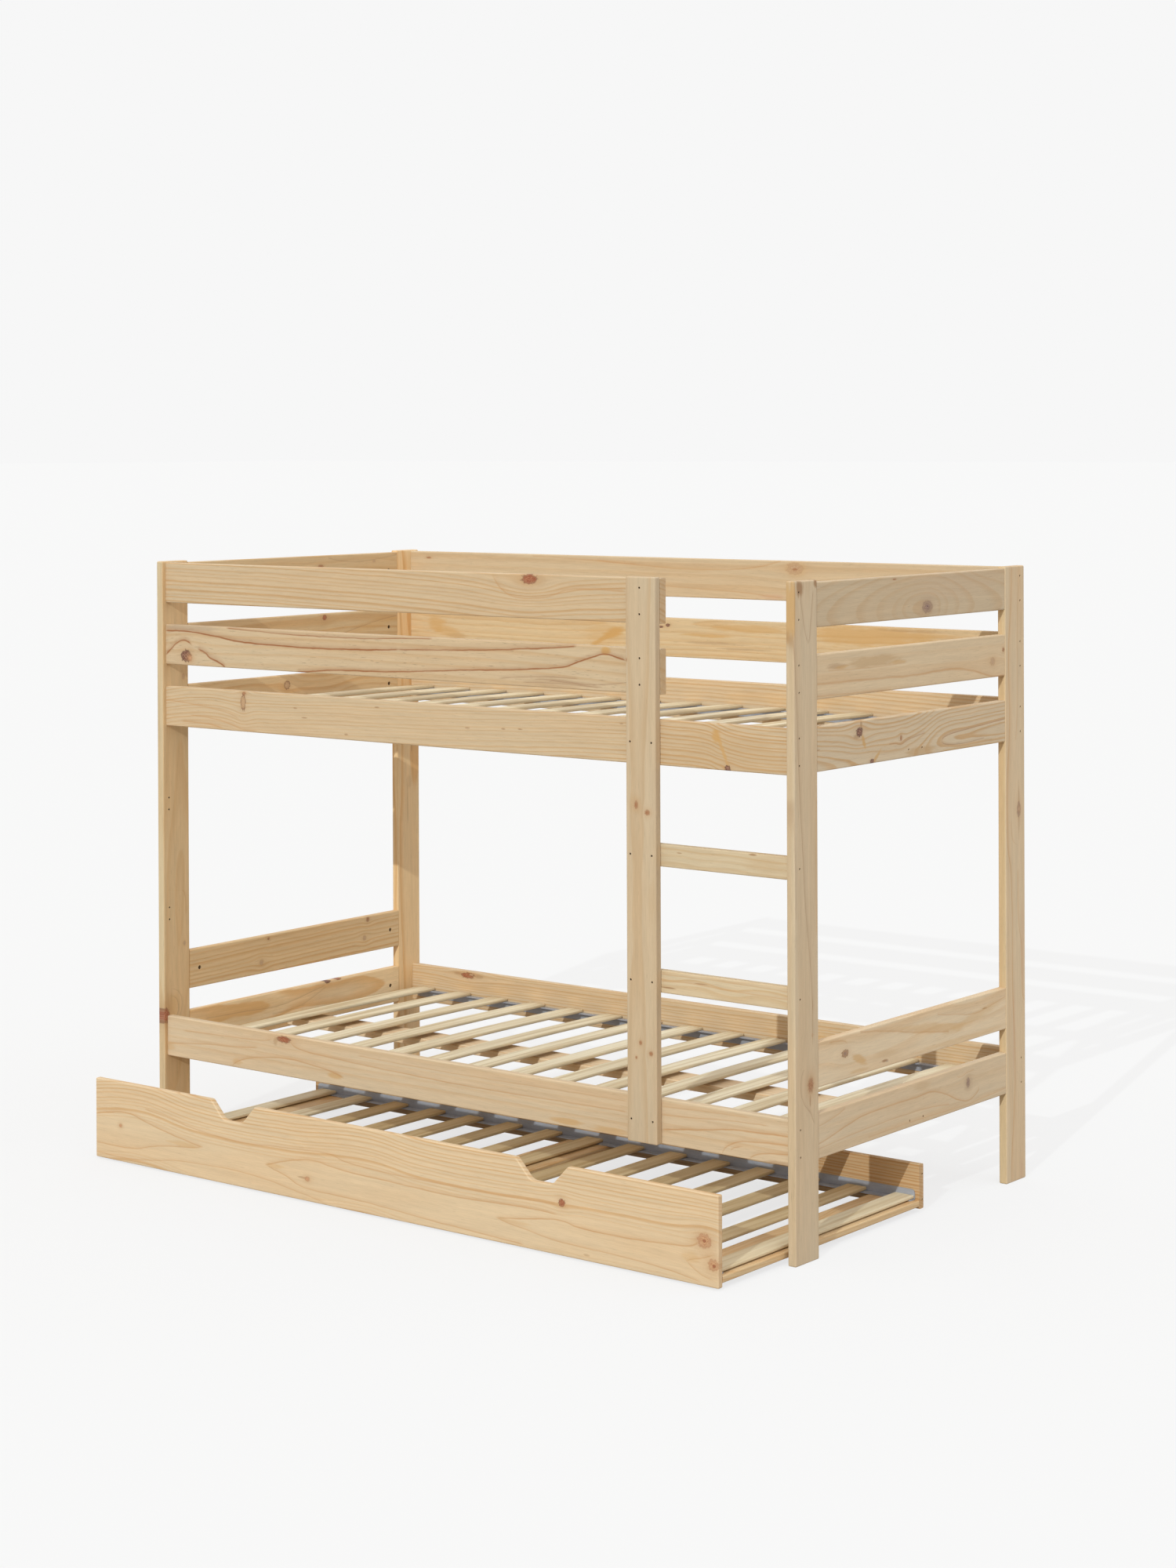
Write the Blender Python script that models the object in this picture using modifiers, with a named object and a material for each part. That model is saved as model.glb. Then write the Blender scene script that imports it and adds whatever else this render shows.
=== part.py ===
"""Triple bunk bed in pine: two slatted bunks, a ladder at the right front and a pull-out trundle.

Units are metres. X runs along the bed, +Y to its back and +Z up. The trundle stands pulled out by
TRUNDLE_PULLED. The origin is on the floor, in the middle of the bed and its pulled-out trundle.
"""

import math

import bmesh
import bpy
from mathutils import Matrix, Vector

# Frame
FRAME_LENGTH = 1.960
FRAME_DEPTH = 0.966
FRAME_HEIGHT = 1.463
TOUCH_GAP = 0.0003

# Legs, which are boards on edge at the four corners
LEG_THICK = 0.021
LEG_WIDE = 0.0885
LEG_ROUNDING = 0.003

# Side rails, between the inner faces of the legs
RAIL_TALL = 0.101
RAIL_THICK = 0.020
RAIL_RECESS = 0.011
RAIL_GAP = 0.055
RAIL_TOP_REVEAL = 0.003
LOW_RAIL_CLEARANCE = 0.210
BOARD_ROUNDING = 0.003

# End rails, between the edges of the legs
END_RAIL_TALL = 0.098
END_RAIL_THICK = 0.020
END_RAIL_RECESS = 0.0015
LOW_END_RAIL_LIFT = 0.003
HEAD_RAIL_GAP = 0.056

# Ladder
LADDER_OPENING = 0.344
POST_WIDE = 0.0825
POST_THICK = 0.0195
RUNG_TALL = 0.050
RUNG_HEIGHT_SHARES = (0.351, 0.730)

# Bed bases: flat slats on steel angles, over a plank
SLAT_WIDE = 0.053
SLAT_THICK = 0.008
SLAT_ROUNDING = 0.003
BED_SLATS = 14
BED_SLAT_LEFT_MARGIN = 0.0325
BED_SLAT_RIGHT_MARGIN = 0.1246
SLAT_SIDE_CLEARANCE = 0.003
SLAT_BEDDING = 0.0005
SLAT_SEAT_HEIGHT = 0.036
ANGLE_THICK = 0.002
ANGLE_SHELF = 0.020
ANGLE_UPRIGHT = 0.022
ANGLE_BEND = 0.0025
ANGLE_CORNER = 0.008
BED_ANGLE_INSET = 0.0185
BEAM_WIDE = 0.085
BEAM_THICK = 0.020
BEAM_HEIGHT = 0.0095

# Drilled holes
BOLT_HOLE = 0.005
BOLT_PAIR_SHARE = 0.29
SIDE_BOLT_INSET = 0.0195
SPARE_HOLE_OFFSET = 0.015
SPARE_HOLE_DEPTH = 0.012
POST_BOLT_INSET = 0.0115
POST_GUARD_BOLT_INSET = 0.039
CROSS_DOWEL_HOLE = 0.010
CROSS_DOWEL_DEPTH = 0.014
CROSS_DOWEL_INSET = 0.0335
BEAM_SCREW_SPREAD = 0.028
CUT_OVERRUN = 0.004

# Trundle
TRUNDLE_PULLED = 0.239
TRUNDLE_DEPTH = 0.7945
TRUNDLE_SIDE_CLEARANCE = 0.009
TRUNDLE_TOP_CLEARANCE = 0.0115
PANEL_THICK = 0.0155
PANEL_FLOOR_GAP = 0.004
BACK_THICK = 0.0175
BACK_TALL = 0.102
BACK_FLOOR_GAP = 0.008
BACK_HOLE_HEIGHTS = (0.0199, 0.0783)
BACK_HOLE_INSET = 0.0045
BACK_HOLE_DEPTH = 0.030
CROSS_BOARD_WIDE = 0.125
CROSS_BOARD_THICK = 0.015
CROSS_BOARD_FLOOR_GAP = 0.013
TRUNDLE_SLATS = 15
TRUNDLE_SLAT_LEFT_MARGIN = 0.024
TRUNDLE_SLAT_RIGHT_MARGIN = 0.0128
TRUNDLE_ANGLE_SHELF = 0.022
TRUNDLE_ANGLE_UPRIGHT = 0.023
TRUNDLE_ANGLE_INSET = 0.011

# Finger notches in the trundle's front
NOTCH_OFFSET = 0.474
NOTCH_MOUTH = 0.146
NOTCH_FLOOR = 0.060
NOTCH_DEEP = 0.0445
NOTCH_MOUTH_RADIUS = 0.010
NOTCH_FLOOR_RADIUS = 0.025

# Recessed castors below the trundle's outer boards
WHEEL_RADIUS = 0.011
WHEEL_WIDE = 0.012
WHEEL_CHAMFER = 0.0015
AXLE_RADIUS = 0.0015
AXLE_CLEARANCE = 0.0003
AXLE_SEAT = 0.0015
CUP_WALL = 0.0030
CUP_SIDE_CLEARANCE = 0.001
CUP_ROLL_CLEARANCE = 0.0025
CUP_TOP_CLEARANCE = 0.0015
CUP_ROOF = 0.0015
CUP_DROP = 0.004
CUP_ROUNDING = 0.002
FLANGE_THICK = 0.0015
FLANGE_REACH = 0.010
CASTOR_INSET = 0.100

# Facets
ROUND_STEPS = 3
HOLE_SIDES = 12
WHEEL_SIDES = 32
NOTCH_STEPS = 6
SMOOTH_BELOW = math.radians(40)
FLAT_BELOW = math.radians(0.1)
EDGE_TOLERANCE = 0.00001
WELD_DISTANCE = 0.00001

# Places that follow from the sizes above
LEG_INNER_X = FRAME_LENGTH / 2 - LEG_THICK
RAIL_FACE_Y = FRAME_DEPTH / 2 - RAIL_RECESS
RAIL_INNER_Y = RAIL_FACE_Y - RAIL_THICK
RAIL_PITCH = RAIL_TALL + RAIL_GAP
TOP_RAIL_Z = FRAME_HEIGHT - RAIL_TOP_REVEAL - RAIL_TALL / 2
MID_RAIL_Z = TOP_RAIL_Z - RAIL_PITCH
BED_RAIL_Z = MID_RAIL_Z - RAIL_PITCH
LOW_RAIL_Z = LOW_RAIL_CLEARANCE + RAIL_TALL / 2
END_RAIL_OUTER_X = FRAME_LENGTH / 2 - END_RAIL_RECESS
END_RAIL_INNER_X = END_RAIL_OUTER_X - END_RAIL_THICK
END_RAIL_HALF = FRAME_DEPTH / 2 - LEG_WIDE - TOUCH_GAP
LOW_END_RAIL_Z = LOW_RAIL_Z + LOW_END_RAIL_LIFT
HEAD_RAIL_Z = LOW_END_RAIL_Z + END_RAIL_TALL + HEAD_RAIL_GAP
POST_RIGHT_X = LEG_INNER_X - LADDER_OPENING
POST_LEFT_X = POST_RIGHT_X - POST_WIDE
POST_X = (POST_LEFT_X + POST_RIGHT_X) / 2
FRAME_MIDDLE_Y = TRUNDLE_PULLED / 2
TRUNDLE_FRONT_Y = FRAME_MIDDLE_Y - FRAME_DEPTH / 2 - TRUNDLE_PULLED
TRUNDLE_HALF = LEG_INNER_X - TRUNDLE_SIDE_CLEARANCE
PANEL_TOP = LOW_RAIL_CLEARANCE - TRUNDLE_TOP_CLEARANCE
PANEL_TALL = PANEL_TOP - PANEL_FLOOR_GAP
TRUNDLE_INNER_DEPTH = TRUNDLE_DEPTH - PANEL_THICK - BACK_THICK
CROSS_BOARD_TOP = CROSS_BOARD_FLOOR_GAP + CROSS_BOARD_THICK
CROSS_BOARD_X = TRUNDLE_HALF - CROSS_BOARD_WIDE / 2
TRUNDLE_SHELF_TOP = CROSS_BOARD_TOP + TOUCH_GAP + ANGLE_THICK

X_AXIS = Vector((1, 0, 0))
Y_AXIS = Vector((0, 1, 0))
Z_AXIS = Vector((0, 0, 1))


# Scene and materials


def clear_scene():
    for obj in list(bpy.data.objects):
        bpy.data.objects.remove(obj, do_unlink=True)


def collection(name):
    made = bpy.data.collections.new(name)
    bpy.context.scene.collection.children.link(made)
    return made


def finish(name, colour, roughness, metallic=0.0):
    material = bpy.data.materials.new(name)
    material.use_nodes = True
    shader = material.node_tree.nodes["Principled BSDF"]
    shader.inputs["Base Color"].default_value = (*colour, 1.0)
    shader.inputs["Roughness"].default_value = roughness
    shader.inputs["Metallic"].default_value = metallic
    material.diffuse_color = (*colour, 1.0)
    return material


def leg_pine():
    return finish("leg_pine", (0.60, 0.45, 0.27), 0.55)


def rail_pine():
    return finish("rail_pine", (0.62, 0.47, 0.28), 0.55)


def end_rail_pine():
    return finish("end_rail_pine", (0.55, 0.42, 0.27), 0.55)


def ladder_pine():
    return finish("ladder_pine", (0.64, 0.49, 0.30), 0.55)


def trundle_pine():
    return finish("trundle_pine", (0.66, 0.49, 0.29), 0.55)


def slat_birch():
    return finish("slat_birch", (0.77, 0.66, 0.43), 0.60)


def angle_steel():
    return finish("angle_steel", (0.30, 0.32, 0.35), 0.40, 1.0)


def castor_steel():
    return finish("castor_steel", (0.45, 0.45, 0.46), 0.35, 1.0)


def castor_nylon():
    return finish("castor_nylon", (0.06, 0.06, 0.065), 0.50)


# Shapes


def mesh_from(bm, name):
    mesh = bpy.data.meshes.new(name)
    bm.to_mesh(mesh)
    bm.free()
    return mesh


def runs_along(edge, axis):
    way = edge.verts[1].co - edge.verts[0].co
    return way.cross(axis).length < EDGE_TOLERANCE


def add_block(bm, size, centre, rounding=0.0, along=None):
    """A cuboid, with its edges along one axis rounded, or all of them where no axis is given."""
    verts = bmesh.ops.create_cube(bm, size=1)["verts"]
    bmesh.ops.scale(bm, vec=size, verts=verts)
    bmesh.ops.translate(bm, vec=centre, verts=verts)
    if not rounding:
        return
    edges = [edge for edge in bm.edges if edge.verts[0] in verts]
    bmesh.ops.bevel(
        bm,
        geom=[edge for edge in edges if along is None or runs_along(edge, along)],
        offset=rounding,
        offset_type="OFFSET",
        segments=ROUND_STEPS,
        profile=0.5,
        affect="EDGES",
    )


def add_cylinder(bm, centre, axis, radius, length, sides):
    turn = Z_AXIS.rotation_difference(axis).to_matrix().to_4x4()
    bmesh.ops.create_cone(
        bm,
        cap_ends=True,
        segments=sides,
        radius1=radius,
        radius2=radius,
        depth=length,
        matrix=Matrix.Translation(centre) @ turn,
    )


def fillet(before, corner, after, radius, steps):
    """Points of the arc that rounds one corner of an outline."""
    into = (before - corner).normalized()
    out = (after - corner).normalized()
    half = into.angle(out) / 2
    centre = corner + (into + out).normalized() * radius / math.sin(half)
    start = corner + into * radius / math.tan(half) - centre
    end = corner + out * radius / math.tan(half) - centre
    sweep = math.atan2(start.cross(end).z, start.dot(end))
    turns = [Matrix.Rotation(sweep * step / steps, 3, "Z") for step in range(steps + 1)]
    return [(centre + turn @ start).to_2d() for turn in turns]


def rounded_outline(corners, steps):
    """An outline from (x, y, radius) corners: a corner with no radius stays sharp."""
    points = []
    for index, (x, y, radius) in enumerate(corners):
        corner = Vector((x, y, 0))
        if radius:
            before = Vector((*corners[index - 1][:2], 0))
            after = Vector((*corners[(index + 1) % len(corners)][:2], 0))
            points += fillet(before, corner, after, radius, steps)
        else:
            points.append(corner.to_2d())
    return points


def plate_mesh(name, outline, thickness):
    """A flat outline in XY, filled and given its thickness along Z, as a closed mesh."""
    curve = bpy.data.curves.new(name, "CURVE")
    curve.dimensions = "2D"
    curve.fill_mode = "BOTH"
    curve.extrude = thickness / 2
    spline = curve.splines.new("POLY")
    spline.points.add(len(outline) - 1)
    for point, place in zip(spline.points, outline):
        point.co = (*place, 0, 1)
    spline.use_cyclic_u = True
    guide = bpy.data.objects.new(name, curve)
    bpy.context.scene.collection.objects.link(guide)
    evaluated = guide.evaluated_get(bpy.context.evaluated_depsgraph_get())
    mesh = bpy.data.meshes.new_from_object(evaluated)
    bpy.data.objects.remove(guide)
    bpy.data.curves.remove(curve)
    bm = bmesh.new()
    bm.from_mesh(mesh)
    bmesh.ops.remove_doubles(bm, verts=bm.verts, dist=WELD_DISTANCE)
    bmesh.ops.dissolve_limit(bm, angle_limit=FLAT_BELOW, verts=bm.verts, edges=bm.edges)
    bm.to_mesh(mesh)
    bm.free()
    return mesh


# Objects


def place(name, mesh, material, location, into, parent=None, rotation=(0, 0, 0)):
    mesh.name = name
    mesh.materials.clear()
    mesh.materials.append(material)
    mesh.shade_smooth()
    mesh.set_sharp_from_angle(angle=SMOOTH_BELOW)
    obj = bpy.data.objects.new(name, mesh)
    into.objects.link(obj)
    obj.parent = parent
    obj.location = location
    obj.rotation_euler = rotation
    return obj


def board(name, size, centre, material, into, along, parent=None, rounding=BOARD_ROUNDING):
    """One board with its edges along one axis rounded, or all of them where that is None."""
    bm = bmesh.new()
    add_block(bm, size, (0, 0, 0), rounding, along)
    return place(name, mesh_from(bm, name), material, centre, into, parent)


def guide_object(name, mesh, cutters, carrier):
    """A hidden object that cuts or joins its carrier, and moves with it."""
    obj = bpy.data.objects.new(name, mesh)
    cutters.objects.link(obj)
    obj.parent = carrier
    obj.hide_render = True
    obj.display_type = "WIRE"
    return obj


def boolean(obj, operation, other):
    modifier = obj.modifiers.new(other.name, "BOOLEAN")
    modifier.operation = operation
    modifier.solver = "EXACT"
    modifier.object = other


def reshape(obj, operation, part, bm, cutters):
    """Joins one more shape to an object, or cuts it out."""
    name = f"{obj.name}_{part}"
    boolean(obj, operation, guide_object(name, mesh_from(bm, name), cutters, obj))


def drill(obj, cutters, holes, axis, radius, length):
    """Round holes along one axis, with their middles given from the object's own origin."""
    bm = bmesh.new()
    for hole in holes:
        add_cylinder(bm, hole, axis, radius, length, HOLE_SIDES)
    reshape(obj, "DIFFERENCE", f"holes_{len(obj.modifiers)}", bm, cutters)


def empty(name, location, into):
    obj = bpy.data.objects.new(name, None)
    obj.location = location
    into.objects.link(obj)
    return obj


def carry(carrier, pieces):
    for piece in pieces:
        piece.parent = carrier


# Legs


def bolt_pair(middle):
    """Heights of the two bolts that hold one rail's end."""
    reach = RAIL_TALL * BOLT_PAIR_SHARE
    return [middle - reach, middle + reach]


def rung_heights():
    low = LOW_RAIL_Z + RAIL_TALL / 2
    high = BED_RAIL_Z - RAIL_TALL / 2
    return [low + (high - low) * share for share in RUNG_HEIGHT_SHARES]


def side_rail_heights():
    return [LOW_RAIL_Z, BED_RAIL_Z, MID_RAIL_Z, TOP_RAIL_Z]


def leg(name, x_side, y_side, material, into, cutters):
    size = (LEG_THICK, LEG_WIDE, FRAME_HEIGHT)
    centre = Vector((
        x_side * (FRAME_LENGTH - LEG_THICK) / 2,
        y_side * (FRAME_DEPTH - LEG_WIDE) / 2,
        FRAME_HEIGHT / 2,
    ))
    obj = board(name, size, centre, material, into, None, rounding=LEG_ROUNDING)
    bolt_y = y_side * (FRAME_DEPTH / 2 - SIDE_BOLT_INSET)
    heights = [z for middle in side_rail_heights() for z in bolt_pair(middle)]
    if (x_side, y_side) == (1, -1):
        heights += rung_heights()
    holes = [Vector((centre.x, bolt_y, z)) - centre for z in heights]
    drill(obj, cutters, holes, X_AXIS, BOLT_HOLE / 2, LEG_THICK + 2 * CUT_OVERRUN)
    if (x_side, y_side) == (-1, -1):
        drill_spare_rung_holes(obj, centre, bolt_y, cutters)
    return obj


def drill_spare_rung_holes(obj, centre, bolt_y, cutters):
    """Blind holes in the other front leg, so that the ladder can be put at either end."""
    length = 2 * SPARE_HOLE_DEPTH
    holes = [
        Vector((-LEG_INNER_X, bolt_y, z + side * SPARE_HOLE_OFFSET)) - centre
        for z in rung_heights()
        for side in (-1, 1)
    ]
    drill(obj, cutters, holes, X_AXIS, BOLT_HOLE / 2, length)


def make_legs(material, into, cutters):
    for y_name, y_side in (("front", -1), ("rear", 1)):
        for x_name, x_side in (("left", -1), ("right", 1)):
            leg(f"leg_{y_name}_{x_name}", x_side, y_side, material, into, cutters)


# Side rails


def side_rail(name, left, right, y_side, middle, material, into):
    size = (right - left, RAIL_THICK, RAIL_TALL)
    centre = ((left + right) / 2, y_side * (RAIL_FACE_Y - RAIL_THICK / 2), middle)
    return board(name, size, centre, material, into, X_AXIS)


def make_side_rails(material, into):
    end = LEG_INNER_X - TOUCH_GAP
    full = (("bed_rail", BED_RAIL_Z), ("low_rail", LOW_RAIL_Z))
    guards = (("guard_top", TOP_RAIL_Z), ("guard_mid", MID_RAIL_Z))
    for name, middle in full:
        side_rail(f"front_{name}", -end, end, -1, middle, material, into)
    for name, middle in guards:
        side_rail(f"front_{name}", -end, POST_RIGHT_X, -1, middle, material, into)
    for name, middle in full + guards:
        side_rail(f"rear_{name}", -end, end, 1, middle, material, into)


# End rails


def end_rail(name, x_side, middle, material, into, cutters):
    size = (END_RAIL_THICK, 2 * END_RAIL_HALF, END_RAIL_TALL)
    centre = (x_side * (END_RAIL_OUTER_X - END_RAIL_THICK / 2), 0, middle)
    obj = board(name, size, centre, material, into, Y_AXIS)
    inner_face = -x_side * END_RAIL_THICK / 2
    holes = [(inner_face, side * (END_RAIL_HALF - CROSS_DOWEL_INSET), 0) for side in (-1, 1)]
    drill(obj, cutters, holes, X_AXIS, CROSS_DOWEL_HOLE / 2, 2 * CROSS_DOWEL_DEPTH)
    return obj


def drill_beam_screws(obj, beam_z, cutters):
    drop = beam_z - obj.location.z
    holes = [(0, side * BEAM_SCREW_SPREAD, drop) for side in (-1, 1)]
    drill(obj, cutters, holes, X_AXIS, BOLT_HOLE / 2, END_RAIL_THICK + 2 * CUT_OVERRUN)


def make_end_rails(material, into, cutters):
    heights = {
        "low": LOW_END_RAIL_Z,
        "head": HEAD_RAIL_Z,
        "bed": BED_RAIL_Z,
        "mid": MID_RAIL_Z,
        "top": TOP_RAIL_Z,
    }
    beams = {"low": beam_middle(LOW_RAIL_Z), "bed": beam_middle(BED_RAIL_Z)}
    for x_name, x_side in (("left", -1), ("right", 1)):
        for rail, middle in heights.items():
            obj = end_rail(f"{x_name}_end_{rail}", x_side, middle, material, into, cutters)
            if rail in beams:
                drill_beam_screws(obj, beams[rail], cutters)


# Ladder


def make_post(material, into, cutters):
    bottom = LOW_RAIL_Z - RAIL_TALL / 2
    size = (POST_WIDE, POST_THICK, FRAME_HEIGHT - bottom)
    face = -RAIL_FACE_Y - TOUCH_GAP
    centre = Vector((POST_X, face - POST_THICK / 2, (FRAME_HEIGHT + bottom) / 2))
    obj = board("ladder_post", size, centre, material, into, None)
    guard_x = POST_LEFT_X + POST_GUARD_BOLT_INSET
    holes = [(guard_x, z) for rail in (MID_RAIL_Z, TOP_RAIL_Z) for z in bolt_pair(rail)]
    edges = (POST_LEFT_X + POST_BOLT_INSET, POST_RIGHT_X - POST_BOLT_INSET)
    for z in [LOW_RAIL_Z, *rung_heights(), BED_RAIL_Z]:
        holes += [(x, z) for x in edges]
    places = [Vector((x, centre.y, z)) - centre for x, z in holes]
    drill(obj, cutters, places, Y_AXIS, BOLT_HOLE / 2, POST_THICK + 2 * CUT_OVERRUN)


def make_rungs(material, into):
    right = LEG_INNER_X - TOUCH_GAP
    size = (right - POST_LEFT_X, RAIL_THICK, RUNG_TALL)
    y = -RAIL_FACE_Y + RAIL_THICK / 2
    for name, z in zip(("rung_lower", "rung_upper"), rung_heights()):
        board(name, size, ((right + POST_LEFT_X) / 2, y, z), material, into, X_AXIS)


# Bed bases


def beam_middle(rail_z):
    return rail_z - RAIL_TALL / 2 + BEAM_HEIGHT + BEAM_THICK / 2


def make_beams(material, into):
    size = (2 * (END_RAIL_INNER_X - TOUCH_GAP), BEAM_WIDE, BEAM_THICK)
    for name, rail_z in (("beam_lower", LOW_RAIL_Z), ("beam_upper", BED_RAIL_Z)):
        board(name, size, (0, 0, beam_middle(rail_z)), material, into, X_AXIS)


def angle_outline(shelf, upright):
    """An L section with its corner at the origin, its shelf along +X and its upright along +Y."""
    thick = ANGLE_THICK
    return rounded_outline(
        [
            (0, 0, ANGLE_BEND),
            (shelf, 0, 0),
            (shelf, thick, 0),
            (thick, thick, 0),
            (thick, upright, 0),
            (0, upright, 0),
        ],
        ROUND_STEPS,
    )


def angle_mesh(name, length, shelf, upright):
    """A steel angle along Z, with the free corners at its ends rounded."""
    mesh = plate_mesh(name, angle_outline(shelf, upright), length)
    bm = bmesh.new()
    bm.from_mesh(mesh)
    corners = [edge for edge in bm.edges if is_free_corner(edge, length, shelf, upright)]
    bmesh.ops.bevel(
        bm,
        geom=corners,
        offset=ANGLE_CORNER,
        offset_type="OFFSET",
        segments=ROUND_STEPS,
        profile=0.5,
        affect="EDGES",
    )
    bm.to_mesh(mesh)
    bm.free()
    return mesh


def is_free_corner(edge, length, shelf, upright):
    """Whether an edge of an angle crosses the thickness at a flange's outer corner."""
    ends = [vert.co for vert in edge.verts]
    across = abs(ends[0].z - ends[1].z) < EDGE_TOLERANCE
    at_end = across and abs(abs(ends[0].z) - length / 2) < EDGE_TOLERANCE
    on_shelf = all(abs(end.x - shelf) < EDGE_TOLERANCE for end in ends)
    on_upright = all(abs(end.y - upright) < EDGE_TOLERANCE for end in ends)
    return at_end and (on_shelf or on_upright)


def slat_lefts(start, end, left_margin, right_margin, count):
    """The left edge of each slat, evenly spaced between two margins."""
    first = start + left_margin
    last = end - right_margin - SLAT_WIDE
    return [first + (last - first) * index / (count - 1) for index in range(count)]


def make_bed_base(name, rail_z, slat, steel, into, cutters):
    """The slats of one bunk on their two angles, joined into one piece."""
    shelf_top = rail_z - RAIL_TALL / 2 + SLAT_SEAT_HEIGHT
    end = END_RAIL_INNER_X
    half = RAIL_INNER_Y - SLAT_SIDE_CLEARANCE
    size = (SLAT_WIDE, 2 * half, SLAT_THICK)
    height = SLAT_THICK / 2 - SLAT_BEDDING
    bm = bmesh.new()
    for left in slat_lefts(-end, end, BED_SLAT_LEFT_MARGIN, BED_SLAT_RIGHT_MARGIN, BED_SLATS):
        add_block(bm, size, (left + SLAT_WIDE / 2, 0, height), SLAT_ROUNDING, Y_AXIS)
    base = place(name, mesh_from(bm, name), slat, (0, 0, shelf_top), into)
    base.data.materials.append(steel)
    length = 2 * (end - BED_ANGLE_INSET)
    for side_name, side in (("front", -1), ("rear", 1)):
        mesh = angle_mesh(f"{name}_angle_{side_name}", length, ANGLE_SHELF, ANGLE_UPRIGHT)
        angle = guide_object(mesh.name, mesh, cutters, base)
        angle.rotation_euler = (math.radians(-90), 0, math.radians(-90) * side)
        angle.location = (0, side * (RAIL_INNER_Y - TOUCH_GAP), 0)
        boolean(base, "UNION", angle)
    return base


# Trundle


def panel_outline():
    """The front panel from its lower left corner, with two finger notches in its top edge."""
    half = TRUNDLE_HALF
    corners = [(-half, 0, 0), (half, 0, 0), (half, PANEL_TALL, 0)]
    for middle in (NOTCH_OFFSET, -NOTCH_OFFSET):
        corners += [
            (middle + NOTCH_MOUTH / 2, PANEL_TALL, NOTCH_MOUTH_RADIUS),
            (middle + NOTCH_FLOOR / 2, PANEL_TALL - NOTCH_DEEP, NOTCH_FLOOR_RADIUS),
            (middle - NOTCH_FLOOR / 2, PANEL_TALL - NOTCH_DEEP, NOTCH_FLOOR_RADIUS),
            (middle - NOTCH_MOUTH / 2, PANEL_TALL, NOTCH_MOUTH_RADIUS),
        ]
    corners.append((-half, PANEL_TALL, 0))
    return rounded_outline(corners, NOTCH_STEPS)


def make_panel(material, into, slide):
    mesh = plate_mesh("trundle_front", panel_outline(), PANEL_THICK)
    upright = (math.radians(90), 0, 0)
    location = (0, PANEL_THICK / 2, PANEL_FLOOR_GAP)
    panel = place("trundle_front", mesh, material, location, into, slide, upright)
    rounding = panel.modifiers.new("edge_rounding", "BEVEL")
    rounding.width = BOARD_ROUNDING
    rounding.segments = ROUND_STEPS
    rounding.limit_method = "ANGLE"
    rounding.angle_limit = SMOOTH_BELOW


def make_back(material, into, cutters, slide):
    size = (2 * TRUNDLE_HALF, BACK_THICK, BACK_TALL)
    centre = Vector((0, TRUNDLE_DEPTH - BACK_THICK / 2, BACK_FLOOR_GAP + BACK_TALL / 2))
    obj = board("trundle_back", size, centre, material, into, X_AXIS, slide)
    holes = [
        (x_side * TRUNDLE_HALF, BACK_THICK / 2 - BACK_HOLE_INSET, z - BACK_TALL / 2)
        for x_side in (-1, 1)
        for z in BACK_HOLE_HEIGHTS
    ]
    drill(obj, cutters, holes, X_AXIS, BOLT_HOLE / 2, 2 * BACK_HOLE_DEPTH)


def cross_board_middle():
    """Where the boards, slats and angles of the trundle have their middle, from its front face."""
    return PANEL_THICK + TRUNDLE_INNER_DEPTH / 2


def castor_places():
    """From each castor's name to its place: below the outer boards, near their ends."""
    front = PANEL_THICK + CASTOR_INSET
    rear = PANEL_THICK + TRUNDLE_INNER_DEPTH - CASTOR_INSET
    return {
        f"{y_name}_{x_name}": Vector((x_side * CROSS_BOARD_X, y, WHEEL_RADIUS))
        for y_name, y in (("front", front), ("rear", rear))
        for x_name, x_side in (("left", -1), ("right", 1))
    }


def cup_size():
    """The castor cup's outer size: a wheel with its clearances and the walls round it."""
    wide = WHEEL_WIDE + 2 * (CUP_SIDE_CLEARANCE + CUP_WALL)
    long = 2 * (WHEEL_RADIUS + CUP_ROLL_CLEARANCE + CUP_WALL)
    tall = CUP_DROP + WHEEL_RADIUS + CUP_TOP_CLEARANCE + CUP_ROOF
    return Vector((wide, long, tall))


def make_cross_boards(material, into, cutters, slide):
    size = (CROSS_BOARD_WIDE, TRUNDLE_INNER_DEPTH - 2 * TOUCH_GAP, CROSS_BOARD_THICK)
    height = CROSS_BOARD_FLOOR_GAP + CROSS_BOARD_THICK / 2
    for name, x in (("left", -CROSS_BOARD_X), ("middle", 0), ("right", CROSS_BOARD_X)):
        centre = Vector((x, cross_board_middle(), height))
        obj = board(f"trundle_board_{name}", size, centre, material, into, Y_AXIS, slide)
        if x:
            cut_pockets(obj, centre, cutters)


def cut_pockets(obj, centre, cutters):
    """A blind pocket from below for each castor cup of one board."""
    cup = cup_size()
    top = WHEEL_RADIUS + CUP_TOP_CLEARANCE + CUP_ROOF + TOUCH_GAP
    bottom = centre.z - CROSS_BOARD_THICK / 2 - WHEEL_RADIUS - CUT_OVERRUN
    size = (cup.x + 2 * TOUCH_GAP, cup.y + 2 * TOUCH_GAP, top - bottom)
    bm = bmesh.new()
    for castor in castor_places().values():
        if castor.x == centre.x:
            middle = castor - centre + Z_AXIS * (top + bottom) / 2
            add_block(bm, size, middle, CUP_ROUNDING, Z_AXIS)
    reshape(obj, "DIFFERENCE", "pockets", bm, cutters)


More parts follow.
